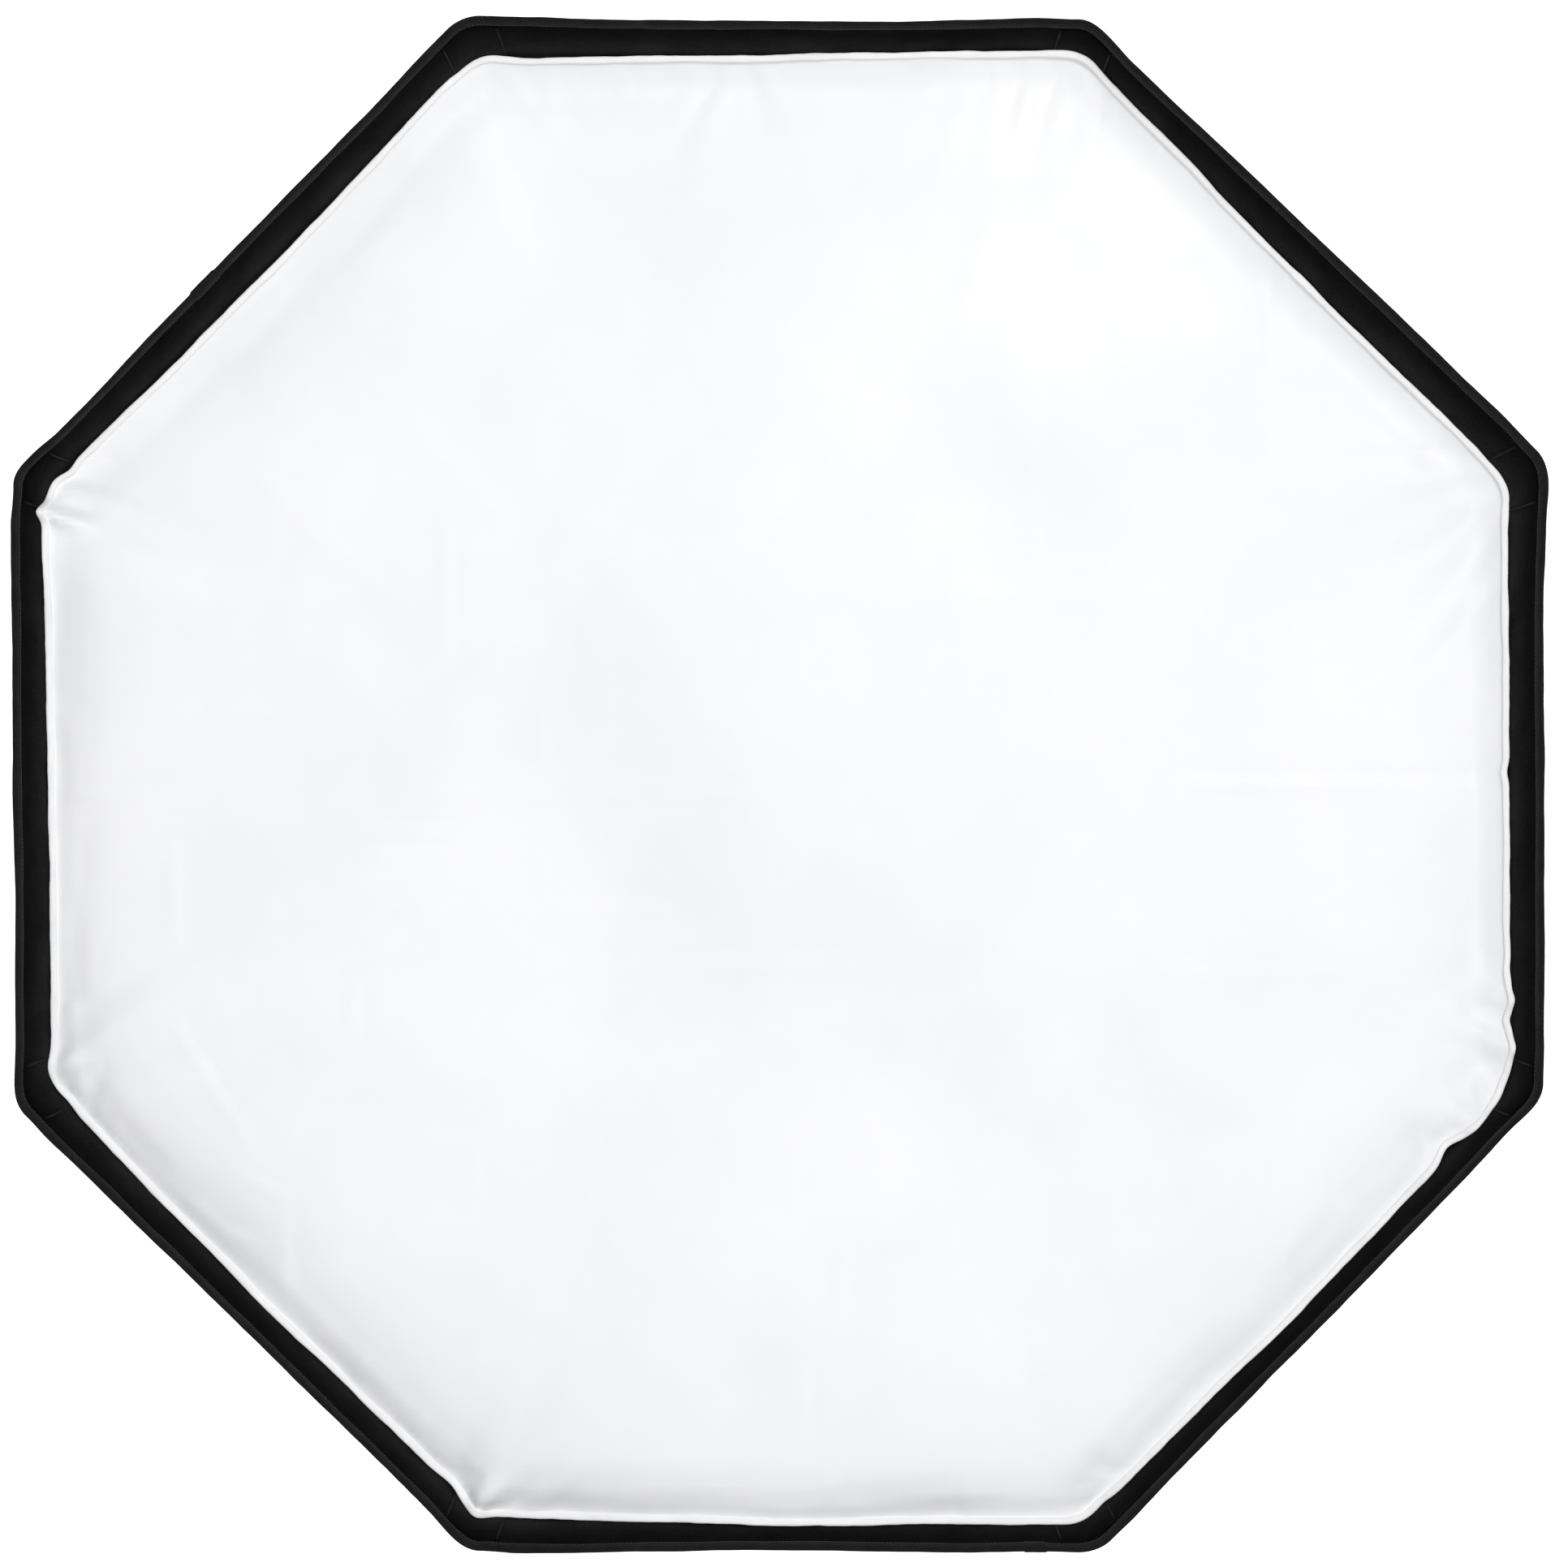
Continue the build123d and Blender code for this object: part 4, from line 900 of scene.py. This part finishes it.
def stretched_octagon(name, apothem, corner, depth, pitch, relief, rows=(), thickness=0.6, edge=None):
    """Sheet of cloth on a fine grid, with extra rows of (out, forward) millimetres folded up round its edge."""
    bm = bmesh.new()
    n = int(2 * apothem / pitch) + 2
    size = n * pitch / 2
    bmesh.ops.create_grid(bm, x_segments=n, y_segments=n, size=size, matrix=Matrix.Rotation(math.pi / 2, 4, "X"))
    octagon_cut(bm, apothem, corner)
    bmesh.ops.remove_doubles(bm, verts=bm.verts, dist=pitch * 0.18)
    rim = [e for e in bm.edges if len(e.link_faces) == 1]
    base = {v: v.co.copy() for v in bm.verts}
    chain = {v: 0 for v in bm.verts}
    edges = rim
    for number in range(len(rows)):
        out = bmesh.ops.extrude_edge_only(bm, edges=edges)["geom"]
        new_verts = [g for g in out if isinstance(g, bmesh.types.BMVert)]
        edges = [g for g in out if isinstance(g, bmesh.types.BMEdge)]
        for v in new_verts:
            base[v] = v.co.copy()
            chain[v] = number + 1
    bm.verts.index_update()
    verts = bm.verts[:]
    co = np.array([base[v] for v in verts])
    level = np.array([chain[v] for v in verts])
    x, z = co[:, 0], co[:, 2]
    k, a, b = sides_of(x, z)
    core = (apothem - corner) * T22
    over = np.clip(np.abs(b) - core, 0, None) * np.sign(b)
    angle = np.radians(k * 45)
    na, nb = np.clip(a - (apothem - corner), 1e-6, None), over
    size_n = np.hypot(na, nb)
    nx = (np.cos(angle) * na - np.sin(angle) * nb) / size_n
    nz = (np.sin(angle) * na + np.cos(angle) * nb) / size_n
    rim_distance = np.maximum(apothem - a, 0)
    shift, rise = np.zeros(len(x)), np.zeros(len(x))
    if edge:
        slow, quick, lift = edge(x, z)
        wide, narrow = 1 - smoothstep(0, 170, rim_distance), 1 - smoothstep(0, 42, rim_distance)
        shift = slow * wide + quick * narrow
        steady = LEAN * np.maximum(slow, 0)
        rise = steady * wide + (lift - steady) * narrow
    out_steps = np.array([0.0] + [r[0] for r in rows])[level]
    forward = np.array([0.0] + [r[1] for r in rows])[level] * (0.1 + 0.9 * round_the_sides(GROOVE, x, z))
    y = -(depth + relief(x, z, apothem) + forward + rise)
    px = x + nx * (shift + out_steps)
    pz = z + nz * (shift + out_steps)
    for v, q in zip(verts, np.stack([px, y, pz], 1) * MM):
        v.co = q
    bm.normal_update()
    bmesh.ops.recalc_face_normals(bm, faces=bm.faces)
    mesh = bpy.data.meshes.new(name)
    bm.to_mesh(mesh)
    bm.free()
    obj = new_object(name, mesh)
    solid = obj.modifiers.new("thickness", "SOLIDIFY")
    solid.thickness = thickness * MM
    solid.offset = 0
    return obj


# how the border folds up round the sheet: out and forward; the forward part fades where there is no groove
BORDER_ROWS = [(0.9, 0.8), (1.7, 1.6), (2.5, 2.4), (3.2, 3.2), (3.8, 4.0)]
SHEET_PITCH = 4.9
front = stretched_octagon("front_cloth", CLOTH_APOTHEM, CLOTH_CORNER, SEAM_DEPTH, SHEET_PITCH, sheet_relief,
                          BORDER_ROWS, edge=edge_stray)
finish_piece(front, satin, "front_diffuser", ["diffuser_sheet", "diffuser_border"])

PIPE = stations(260, 24)
PIPE_S = perimeter(PIPE)


def edge_ring(st, out, forward):
    """A ring that follows the diffuser's wavy edge, moved out and forward from it."""
    point, normal = outline(st, CLOTH_APOTHEM, CLOTH_CORNER)
    slow, quick, lift = edge_stray(point[:, 0], point[:, 1])
    xz = point + normal * (slow + quick + out)[:, None]
    return at_depth(xz, SEAM_DEPTH + (forward + lift)), normal


HEM_OUT, HEM_AHEAD = 4.1, 16.9  # the rolled hem's centre, from the edge of the cloth
pipe_path, pipe_normal = edge_ring(PIPE, HEM_OUT, HEM_AHEAD)
pipe_path[:, 1] -= 0.8 * wave(PIPE_S, 60, 81) + 0.35 * wave(PIPE_S, 170, 82)
outward = at_depth(pipe_normal, 0.0)
pinch = 1 + 0.14 * wave(PIPE_S, 150, 83) + 0.09 * wave(PIPE_S, 420, 84)
twist = 0.16 * wave(PIPE_S, 210, 85)
rings = []
for a, b in rounded_section(5.3, 3.5, 2.6, 18):
    across = a * np.cos(twist) - b * np.sin(twist)
    ahead = a * np.sin(twist) + b * np.cos(twist) + 0.22 * a
    rings.append(pipe_path + outward * (across * pinch)[:, None] - np.array([0, 1, 0]) * (ahead * pinch)[:, None])
piping = ring_solid("front_rolled_hem", np.stack(rings, 1))
finish_piece(piping, hem_white, "front_diffuser", ["diffuser_piping"])

hook_outer = []
for depth in np.linspace(450.8, 463.0, 5):
    hook_outer.append(edge_ring(LIP, (depth - SEAM_DEPTH) * LIP_SLOPE + 0.6, depth - SEAM_DEPTH)[0])
hook_outer = np.stack(hook_outer, 1)
tape_outward = at_depth(outline(LIP, CLOTH_APOTHEM, CLOTH_CORNER)[1], 0.0)
hook_tape = cloth("front_hook_strip", hook_outer + tape_outward[:, None] * 0.9, hook_outer, True)
finish_piece(hook_tape, hooks, "front_diffuser", ["diffuser_hook_tape"])

# ------------------------------------------------------------------ corner gussets sewn into the lining
gussets, gusset_seams = [], []
for k in range(8):
    index = np.arange(k * 96 + 82, k * 96 + 99) % len(LIP)
    depths = np.linspace(SEAM_DEPTH + 1.0, HEM_DEPTH - 10.5, 12)
    outer = lip_grid(LIP[index], LIP_S[index], depths, 2.5, 0.5)
    inner = lip_grid(LIP[index], LIP_S[index], depths, 3.3, 0.5)
    gussets.append(cloth(f"gusset_{k}", outer, inner, False))
    for end in (0, -1):
        line = inner[end]
        facing = inner[end] - outer[end]
        gusset_seams.append(sweep_tube(f"seam_{k}_{end}", line, rounded_section(1.9, 1.3, 2.4, 10), facing))
gusset = join("corner_gusset_patches", gussets)
finish_piece(gusset, velvet, "softbox", ["corner_gussets"])
gusset_seam = join("corner_gusset_seams", gusset_seams)
finish_piece(gusset_seam, tape, "softbox")

# ------------------------------------------------------------------ the cover's curve in a flat's mid plane
ROD_ANGLE = math.radians(68.0)
ROD_ROOT = np.array([80.0, 37.0])
ROD_END = np.array([602.5, 437.0])
ROD_DIR = np.array([math.sin(ROD_ANGLE), math.cos(ROD_ANGLE)])
ARC_START = ROD_ROOT + 56.0 * ROD_DIR
BEND_IN = np.array([-ROD_DIR[1], ROD_DIR[0]])
CHORD = ROD_END - ARC_START
BEND = CHORD @ CHORD / (2 * CHORD @ BEND_IN)
BEND_CENTRE = ARC_START + BEND_IN * BEND
BEND_TURN = 2 * (ROD_ANGLE - math.atan2(CHORD[0], CHORD[1]))
WALL_REAR = 95.6
WALL_RISE = 1 / math.tan(ROD_ANGLE) / C22


def rod_line(share, out=0.0):
    """(radius, depth) on a rod's bend, moved out from its centre."""
    angle = ROD_ANGLE - BEND_TURN * np.asarray(share)
    return BEND_CENTRE + np.stack([np.cos(angle), -np.sin(angle)], -1) * (BEND + out)


def wall_curve():
    """The cover's inner face where a flat is widest: points, outward normals and lengths along it."""
    arc = rod_line(np.linspace(0, 1, 60), 7.5) * [C22, 1]
    rear = np.array([[WALL_REAR, arc[0, 1] - (arc[0, 0] - WALL_REAR) * WALL_RISE]])
    slope = (arc[-1] - arc[-2]) / (arc[-1, 1] - arc[-2, 1])
    front = (arc[-1] + slope * (SEAM_DEPTH - arc[-1, 1]))[None]
    line = np.concatenate([rear, arc, front])
    length = np.concatenate([[0], np.cumsum(np.linalg.norm(np.diff(line, axis=0), axis=1))])
    return line, length


WALL_LINE, WALL_AT = wall_curve()
WALL_LENGTH = WALL_AT[-1]


def wall_at(t):
    """Points and outward normals at shares t of the curve's length."""
    want = np.asarray(t, float) * WALL_LENGTH
    point = np.stack([np.interp(want, WALL_AT, WALL_LINE[:, i]) for i in (0, 1)], -1)
    ahead = np.stack([np.interp(want + 4, WALL_AT, WALL_LINE[:, i]) for i in (0, 1)], -1)
    back = np.stack([np.interp(want - 4, WALL_AT, WALL_LINE[:, i]) for i in (0, 1)], -1)
    tangent = ahead - back
    tangent /= np.linalg.norm(tangent, axis=-1, keepdims=True)
    return point, np.stack([tangent[..., 1], -tangent[..., 0]], -1)


def gore_sag(side, t, w, half):
    """How far the stretched cover stands from the flat gore, in millimetres: sag, seam puckers and creases."""
    reach = (1 - np.abs(w)) * half
    sag = -8.5 * (1 - w**2) * np.sin(np.pi * np.clip(t, 0, 1) ** 0.85)
    along = t * WALL_LENGTH
    fade = smoothstep(0, 7, reach)
    pucker = 0.75 * lattice(along / 15, w * 2 + side * 5.1, 91) * np.exp(-((reach / 26) ** 2)) * fade
    long_crease = 1.3 * lattice(along / 160 + 3 * side, w * 3.2 + side * 2.3, 92) * fade
    cross = 0.9 * lattice(along / 46 + w * 4, w * half / 90 + side, 93) * smoothstep(0, 20, reach)
    ends = 1.1 * lattice(w * half / 17, along / 120 + side, 94) * (np.exp(-((along / 70) ** 2)) + 0.6 * np.exp(
        -(((WALL_LENGTH - along) / 55) ** 2))) * fade
    seam = smoothstep(0.0, 0.035, t) * smoothstep(0.0, 0.03, 1 - t)
    return sag + (pucker + long_crease + cross + ends) * seam


def gore_points(side, t, w, out):
    """Points of a gore at shares t along it and w across it, moved out from the cover's inner face."""
    point, normal = wall_at(t)
    half = point[..., 0] * T22
    off = out + gore_sag(side, t, w, half)
    radial = point[..., 0] + normal[..., 0] * off
    depth = point[..., 1] + normal[..., 1] * off
    across = w * (point[..., 0] + normal[..., 0] * out) * T22
    a = math.radians(45.0 * side)
    return np.stack([math.cos(a) * radial - math.sin(a) * across, -depth,
                     math.sin(a) * radial + math.cos(a) * across], -1)


GORE_T, GORE_W = np.meshgrid(np.linspace(0, 1, 150), np.sin(np.linspace(-np.pi / 2, np.pi / 2, 60)), indexing="ij")
GORE_UV = np.stack([GORE_W * wall_at(GORE_T)[0][..., 0] * T22, GORE_T * WALL_LENGTH], -1)
GORE_STEPS = 400
GORE_WIDTHS = 2 * wall_at(np.linspace(0, 1, GORE_STEPS))[0][:, 0] * T22
for k in range(8):
    gore = cloth(f"cover_gore_{k + 1}", gore_points(k, GORE_T, GORE_W, 1.05), gore_points(k, GORE_T, GORE_W, 0.3),
                 False, GORE_UV)
    finish_piece(gore, nylon, "softbox", [f"cover_panel_{k + 1}"])

LINER_T, LINER_W = np.meshgrid(np.linspace(0.013, 0.945, 90), np.linspace(-0.992, 0.992, 34), indexing="ij")
liner = join("silver_lining_cloth", [
    cloth(f"liner_{k}", gore_points(k, LINER_T, LINER_W, -0.35), gore_points(k, LINER_T, LINER_W, -0.9), False)
    for k in range(8)
])
finish_piece(liner, silver, "softbox", ["silver_liner"])


def rib_strip(rib, shares, across, out):
    """Grid that lies over a seam: across is the distance from the seam, negative on the side before it."""
    grid = np.zeros((len(shares), len(across), 3))
    for j, b in enumerate(across):
        side = rib if b < 0 else (rib + 1) % 8
        half = wall_at(shares)[0][:, 0] * T22
        w = (1 - abs(b) / half) * (1 if b < 0 else -1)
        level = out[j] if np.ndim(out) else out
        grid[:, j] = gore_points(side, shares, w, level)
    return grid


SEAM_T = np.linspace(0.055, 0.995, 210)
ACROSS = [-5.0, -4.4, -2.6, -1.1, -0.01, 0.01, 1.1, 2.6, 4.4, 5.0]
TOP = np.array([1.25, 1.85, 2.0, 2.75, 3.1, 3.1, 2.75, 2.0, 1.85, 1.25])
for k in range(8):
    ruffle = 0.14 * lattice(SEAM_T * WALL_LENGTH / 9, np.full_like(SEAM_T, k + 0.4), 97)
    strip = rib_strip(k, SEAM_T, ACROSS, TOP)
    base = rib_strip(k, SEAM_T, ACROSS, np.full(len(ACROSS), 1.1))
    lift = (strip - base) / np.linalg.norm(strip - base, axis=2, keepdims=True)
    tape_k = cloth(f"seam_tape_{k + 1}", strip + lift * ruffle[:, None, None], base, False)
    finish_piece(tape_k, tape, "softbox", ["seam_bindings"])
stitch_rows = []
for k in range(8):
    for b in (-3.6, 3.6):
        line = rib_strip(k, SEAM_T, [b], 2.05)[:, 0]
        above = rib_strip(k, SEAM_T, [b], 3.05)[:, 0]
        points, tangent = resample(line, 4.2)
        at = np.linspace(0, len(line) - 1, len(points)).astype(int)
        stitch_rows.append(beads(f"row_{k}_{b}", points, tangent, (above - line)[at], 3.2, 0.6, 0.5, 5))
seam_stitches = join("seam_stitches", stitch_rows)
finish_piece(seam_stitches, thread_black, "softbox")

piping_rings = []
for t in np.linspace(0, 2 * np.pi, 10, endpoint=False):
    point, normal = outline(LIP, SEAM_APOTHEM + 0.6, CORNER + 0.6)
    radius = 1.7 * (1 + 0.1 * wave(LIP_S, 300, 101))
    xz = point + normal * (radius * math.cos(t))[:, None]
    piping_rings.append(at_depth(xz, SEAM_DEPTH + 0.4 - radius * math.sin(t)))
seam_cord = ring_solid("lip_seam_piping", np.stack(piping_rings, 1))
finish_piece(seam_cord, tape, "softbox")

# ------------------------------------------------------------------ elastic cuff and heat-resistant collar at the ring
TURN = np.linspace(0, 2 * np.pi, 900, endpoint=False)
CUFF = [(94.0, 20.7), (94.35, 22.2), (94.1, 24.5), (94.4, 27.0), (94.1, 29.5), (94.35, 31.8), (94.0, 33.0),
        (92.6, 33.2), (92.25, 31.0), (92.25, 27.0), (92.25, 23.0), (92.6, 20.5)]
gather = 0.3 * np.abs(np.sin(TURN * 84)) + 0.15 * lattice(TURN / (2 * np.pi) * 60, np.full_like(TURN, 0.3), 111, 60)
rings = []
for radius, depth in CUFF:
    r = radius + (gather if radius > 93 else 0)
    rings.append(np.stack([np.cos(TURN) * r, np.full_like(TURN, -depth), np.sin(TURN) * r], 1))
cuff = ring_solid("ring_cuff_elastic", np.stack(rings, 1))
finish_piece(cuff, elastic_black, "softbox", ["elastic_cuff"])

WALL_START = wall_at(0.0)[0][1]


def collar_grid(radii, out):
    phi = TURN[::2]
    side = np.round(phi / (np.pi / 4)) * (np.pi / 4)
    cols = []
    for rho in radii:
        flat = rho * np.cos(phi - side)
        depth = WALL_START + (flat - WALL_REAR) * WALL_RISE
        bump = 0.25 * lattice(phi / (2 * np.pi) * 48, np.full_like(phi, rho / 14), 113, 48)
        depth = depth - (out + bump) * 1.05
        cols.append(np.stack([np.cos(phi) * rho, -depth, np.sin(phi) * rho], 1))
    return np.stack(cols, 1)


radii = np.array([94.5, 95.4, 97.0, 101.0, 106.0, 112.0, 118.0, 124.0, 127.6, 128.6, 129.6, 130.0])
level = np.array([2.0, 2.7, 2.8, 2.6, 2.6, 2.6, 2.6, 2.6, 2.8, 2.9, 2.6, 2.1])
outer = np.stack([collar_grid([r], o)[:, 0] for r, o in zip(radii, level)], 1)
collar = cloth("heat_collar", outer, collar_grid(radii, 1.55), True)
finish_piece(collar, heavy_black, "softbox", ["rear_collar"])
collar_rows = []
for rho in (97.6, 123.6, 126.4):
    points, tangent = resample(collar_grid([rho], 2.95)[:, 0], 3.6, True)
    up = np.broadcast_to(np.array([0.0, 1.0, 0.0]), points.shape)
    collar_rows.append(beads(f"collar_{rho}", points, tangent, up, 2.8, 0.6, 0.5, 5))
collar_stitches = join("collar_stitches", collar_rows)
finish_piece(collar_stitches, thread_black, "softbox")


# ------------------------------------------------------------------ rod pockets at the lip, baffle, straps and loops
def rib_frame(rib, point, tangent):
    """Origin, along, side and up at a (radius, depth) point of a rib's plane."""
    a = math.radians(rib)
    out = np.array([math.cos(a), 0, math.sin(a)])
    side = np.array([-math.sin(a), 0, math.cos(a)])
    along = out * tangent[0] + np.array([0, -tangent[1], 0])
    origin = out * point[0] + np.array([0, -point[1], 0])
    return origin, along, side, np.cross(along, side)


END_ANGLE = ROD_ANGLE - BEND_TURN
END_DIR = (math.sin(END_ANGLE), math.cos(END_ANGLE))
pockets = []
for rib in RIBS:
    origin, along, side, up = rib_frame(rib, ROD_END, END_DIR)
    turn = np.linspace(0, 2 * np.pi, 28, endpoint=False)
    shape = [(-20.8, 5.6), (-19.6, 5.85), (-17.5, 5.75), (-12, 5.8), (-6, 5.85), (0, 5.85), (4, 5.8), (6.2, 4.7),
             (7.1, 2.6), (7.2, 0.4)]
    wall_in = [(-20.8, 5.0), (-19.6, 4.95), (-17.5, 4.95), (-12, 4.95), (-6, 4.95), (0, 4.95), (3.4, 4.9), (5.9, 3.9),
               (6.5, 2.0), (6.5, 0.3)]
    grids = []
    for pairs in (shape, wall_in):
        rows = [origin + along * a + (side * np.cos(turn)[:, None] + up * np.sin(turn)[:, None])
                * (r * (1 + 0.02 * np.sin(turn * 2 + a)))[:, None] for a, r in pairs]
        grids.append(np.stack(rows, 1))
    pockets.append(cloth(f"pocket_{rib}", grids[0], grids[1], True))
pocket = join("rod_end_pockets", pockets)
finish_piece(pocket, webbing, "softbox", ["rod_tip_pockets"])

BAFFLE_DEPTH, BAFFLE_APOTHEM = 300.5, 330.0


def baffle_relief(x, z, apothem):
    k, a, b = sides_of(x, z)
    corner = np.abs(b) / (apothem * T22)
    pull = 1.4 * lattice(b / 22, (apothem - a) / 160, 121) * np.exp(-(((apothem - a) / 70) ** 2)) * corner**2
    fold = sum(h * np.exp(-(((x * c + z * s - d) / 5) ** 2)) for c, s, d, h in
               ((1, 0, 0, 0.9), (0, 1, 0, 0.9), (1, 0, 165, -0.6), (0, 1, -165, -0.6)))
    return (1.6 * lattice(x / 130, z / 150, 122) + pull + fold) * smoothstep(0, 14, apothem - a)


baffle = stretched_octagon("baffle_cloth", 328.0, 22.0, BAFFLE_DEPTH, 7.0, baffle_relief)
finish_piece(baffle, thin_white, "softbox", ["inner_baffle"])

EDGE = stations(60, 8)
edge_s = perimeter(EDGE)
section = rounded_section(12.0, 2.7, 4.0, 16)
point, normal = outline(EDGE, BAFFLE_APOTHEM - 6, 18.0)
rings = [np.stack([point[:, 0] + normal[:, 0] * a, np.full(len(EDGE), -BAFFLE_DEPTH)
                   - b * (1 + 0.15 * wave(edge_s, 90, 131)), point[:, 1] + normal[:, 1] * a], 1) for a, b in section]
baffle_edge = ring_solid("baffle_bound_edge", np.stack(rings, 1))
finish_piece(baffle_edge, elastic_white, "softbox", ["baffle_binding"])
points, tangent = resample(np.stack([point[:, 0] - normal[:, 0] * 3, np.full(len(EDGE), -BAFFLE_DEPTH - 1.4),
                                     point[:, 1] - normal[:, 1] * 3], 1), 4.4, True)
row = beads("baffle_edge_stitches", points, tangent, np.broadcast_to(np.array([0.0, -1.0, 0.0]), points.shape),
            3.2, 0.6, 0.5, 5)
finish_piece(row, thread_white, "softbox")

LOOP_SHARE = float(np.interp(BAFFLE_DEPTH - 0.5, rod_line(np.linspace(0, 1, 200))[:, 1], np.linspace(0, 1, 200)))
LOOP_AT = rod_line(LOOP_SHARE)
LOOP_ANGLE = ROD_ANGLE - BEND_TURN * LOOP_SHARE
LOOP_DIR = (math.sin(LOOP_ANGLE), math.cos(LOOP_ANGLE))
TAB_END = LOOP_AT[0] - 4.15 / LOOP_DIR[1] - 18.0
BUCKLE_FROM = TAB_END - 22.05
STRAP_FROM = BAFFLE_APOTHEM / C22 - 24.0 * (1 / C22 - 1) + 0.3
straps, loops = [], []
for rib in RIBS:
    a = math.radians(rib)
    out = np.array([math.cos(a), 0, math.sin(a)])
    steps_r = np.linspace(STRAP_FROM, BUCKLE_FROM - 0.05, 60)
    ribbed = 1 + 0.03 * np.sin(steps_r * 2.4)
    path = out * steps_r[:, None] + np.array([0, -300.0, 0])
    straps.append(sweep_tube(f"strap_{rib}", path, rounded_section(14.6, 1.1, 5.0), (0, -1, 0), scale=ribbed))
    origin, along, side, up = rib_frame(rib, LOOP_AT, LOOP_DIR)
    turn = np.linspace(0, 2 * np.pi, 26, endpoint=False)
    rows = []
    for radius in (4.75, 3.45):
        line = [origin + along * x + (side * np.cos(turn)[:, None] + up * np.sin(turn)[:, None]) * radius
                * (1 + 0.02 * math.sin(x)) for x in np.linspace(-7.8, 7.8, 14)]
        rows.append(np.stack(line, 1))
    loops.append(cloth(f"loop_{rib}", rows[0], rows[1], True))
    tab = out * np.linspace(TAB_END, TAB_END + 17.4, 24)[:, None] + np.array([0, -300.0, 0])
    loops.append(sweep_tube(f"tab_{rib}", tab, rounded_section(14.4, 1.1, 5.0), (0, -1, 0)))
strap = join("baffle_elastic_straps", straps)
finish_piece(strap, elastic_white, "softbox", ["baffle_straps"])
loop = join("rod_loop_tapes", loops)
finish_piece(loop, elastic_white, "softbox", ["strap_loops"])

# ------------------------------------------------------------------ stage and light
def plate(name, corners, paint):
    obj = new_object(name, mesh_from(name, corners, [(0, 1, 2, 3)]))
    obj.data.materials.append(paint.mat)


FLOOR, WIDE, BACK = -2900, 14000, 9000
floor_paint = plain("pale_floor", 0.1, 0.62, 0.66)
paper = plain("white_backdrop", 1.0, 0.86, 0.9)
wall = plain("pale_studio_wall", 0.2, 0.6, 0.64)
plate("floor", [(-WIDE, -WIDE, FLOOR), (WIDE, -WIDE, FLOOR), (WIDE, BACK, FLOOR), (-WIDE, BACK, FLOOR)], floor_paint)
plate("backdrop", [(-WIDE, BACK, FLOOR), (WIDE, BACK, FLOOR), (WIDE, BACK, WIDE), (-WIDE, BACK, WIDE)], paper)
plate("studio_wall", [(WIDE, -BACK, FLOOR), (-WIDE, -BACK, FLOOR), (-WIDE, -BACK, WIDE), (WIDE, -BACK, WIDE)], wall)


def area_light(name, place, target, size, power, tone=(1, 1, 1)):
    data = bpy.data.lights.new(name, "AREA")
    data.shape = "RECTANGLE"
    data.size, data.size_y = size
    data.energy = power
    data.color = tone
    lamp = bpy.data.objects.new(name, data)
    bpy.context.scene.collection.objects.link(lamp)
    lamp.location = place
    lamp.rotation_euler = (Vector(target) - Vector(place)).to_track_quat("-Z", "Y").to_euler()


area_light("key", (1.2, -5.0, 1.8), (0.05, -0.45, 0.05), (1.5, 1.1), 110, (1.0, 0.995, 0.985))
area_light("front", (-0.2, -6.0, -0.6), (0, -0.45, 0), (2.4, 2.4), 46)
area_light("rear_left", (-3.0, 2.0, 2.4), (0, 0, 0), (2.0, 2.0), 90)
area_light("rear_right", (3.0, 1.6, 1.2), (0, 0, 0), (1.6, 2.4), 70)
world = bpy.data.worlds.new("world")
bpy.context.scene.world = world
world.use_nodes = True
world.node_tree.nodes["Background"].inputs["Color"].default_value = (1, 1, 1, 1)
world.node_tree.nodes["Background"].inputs["Strength"].default_value = 0.13
bpy.context.scene.view_settings.view_transform = "Standard"
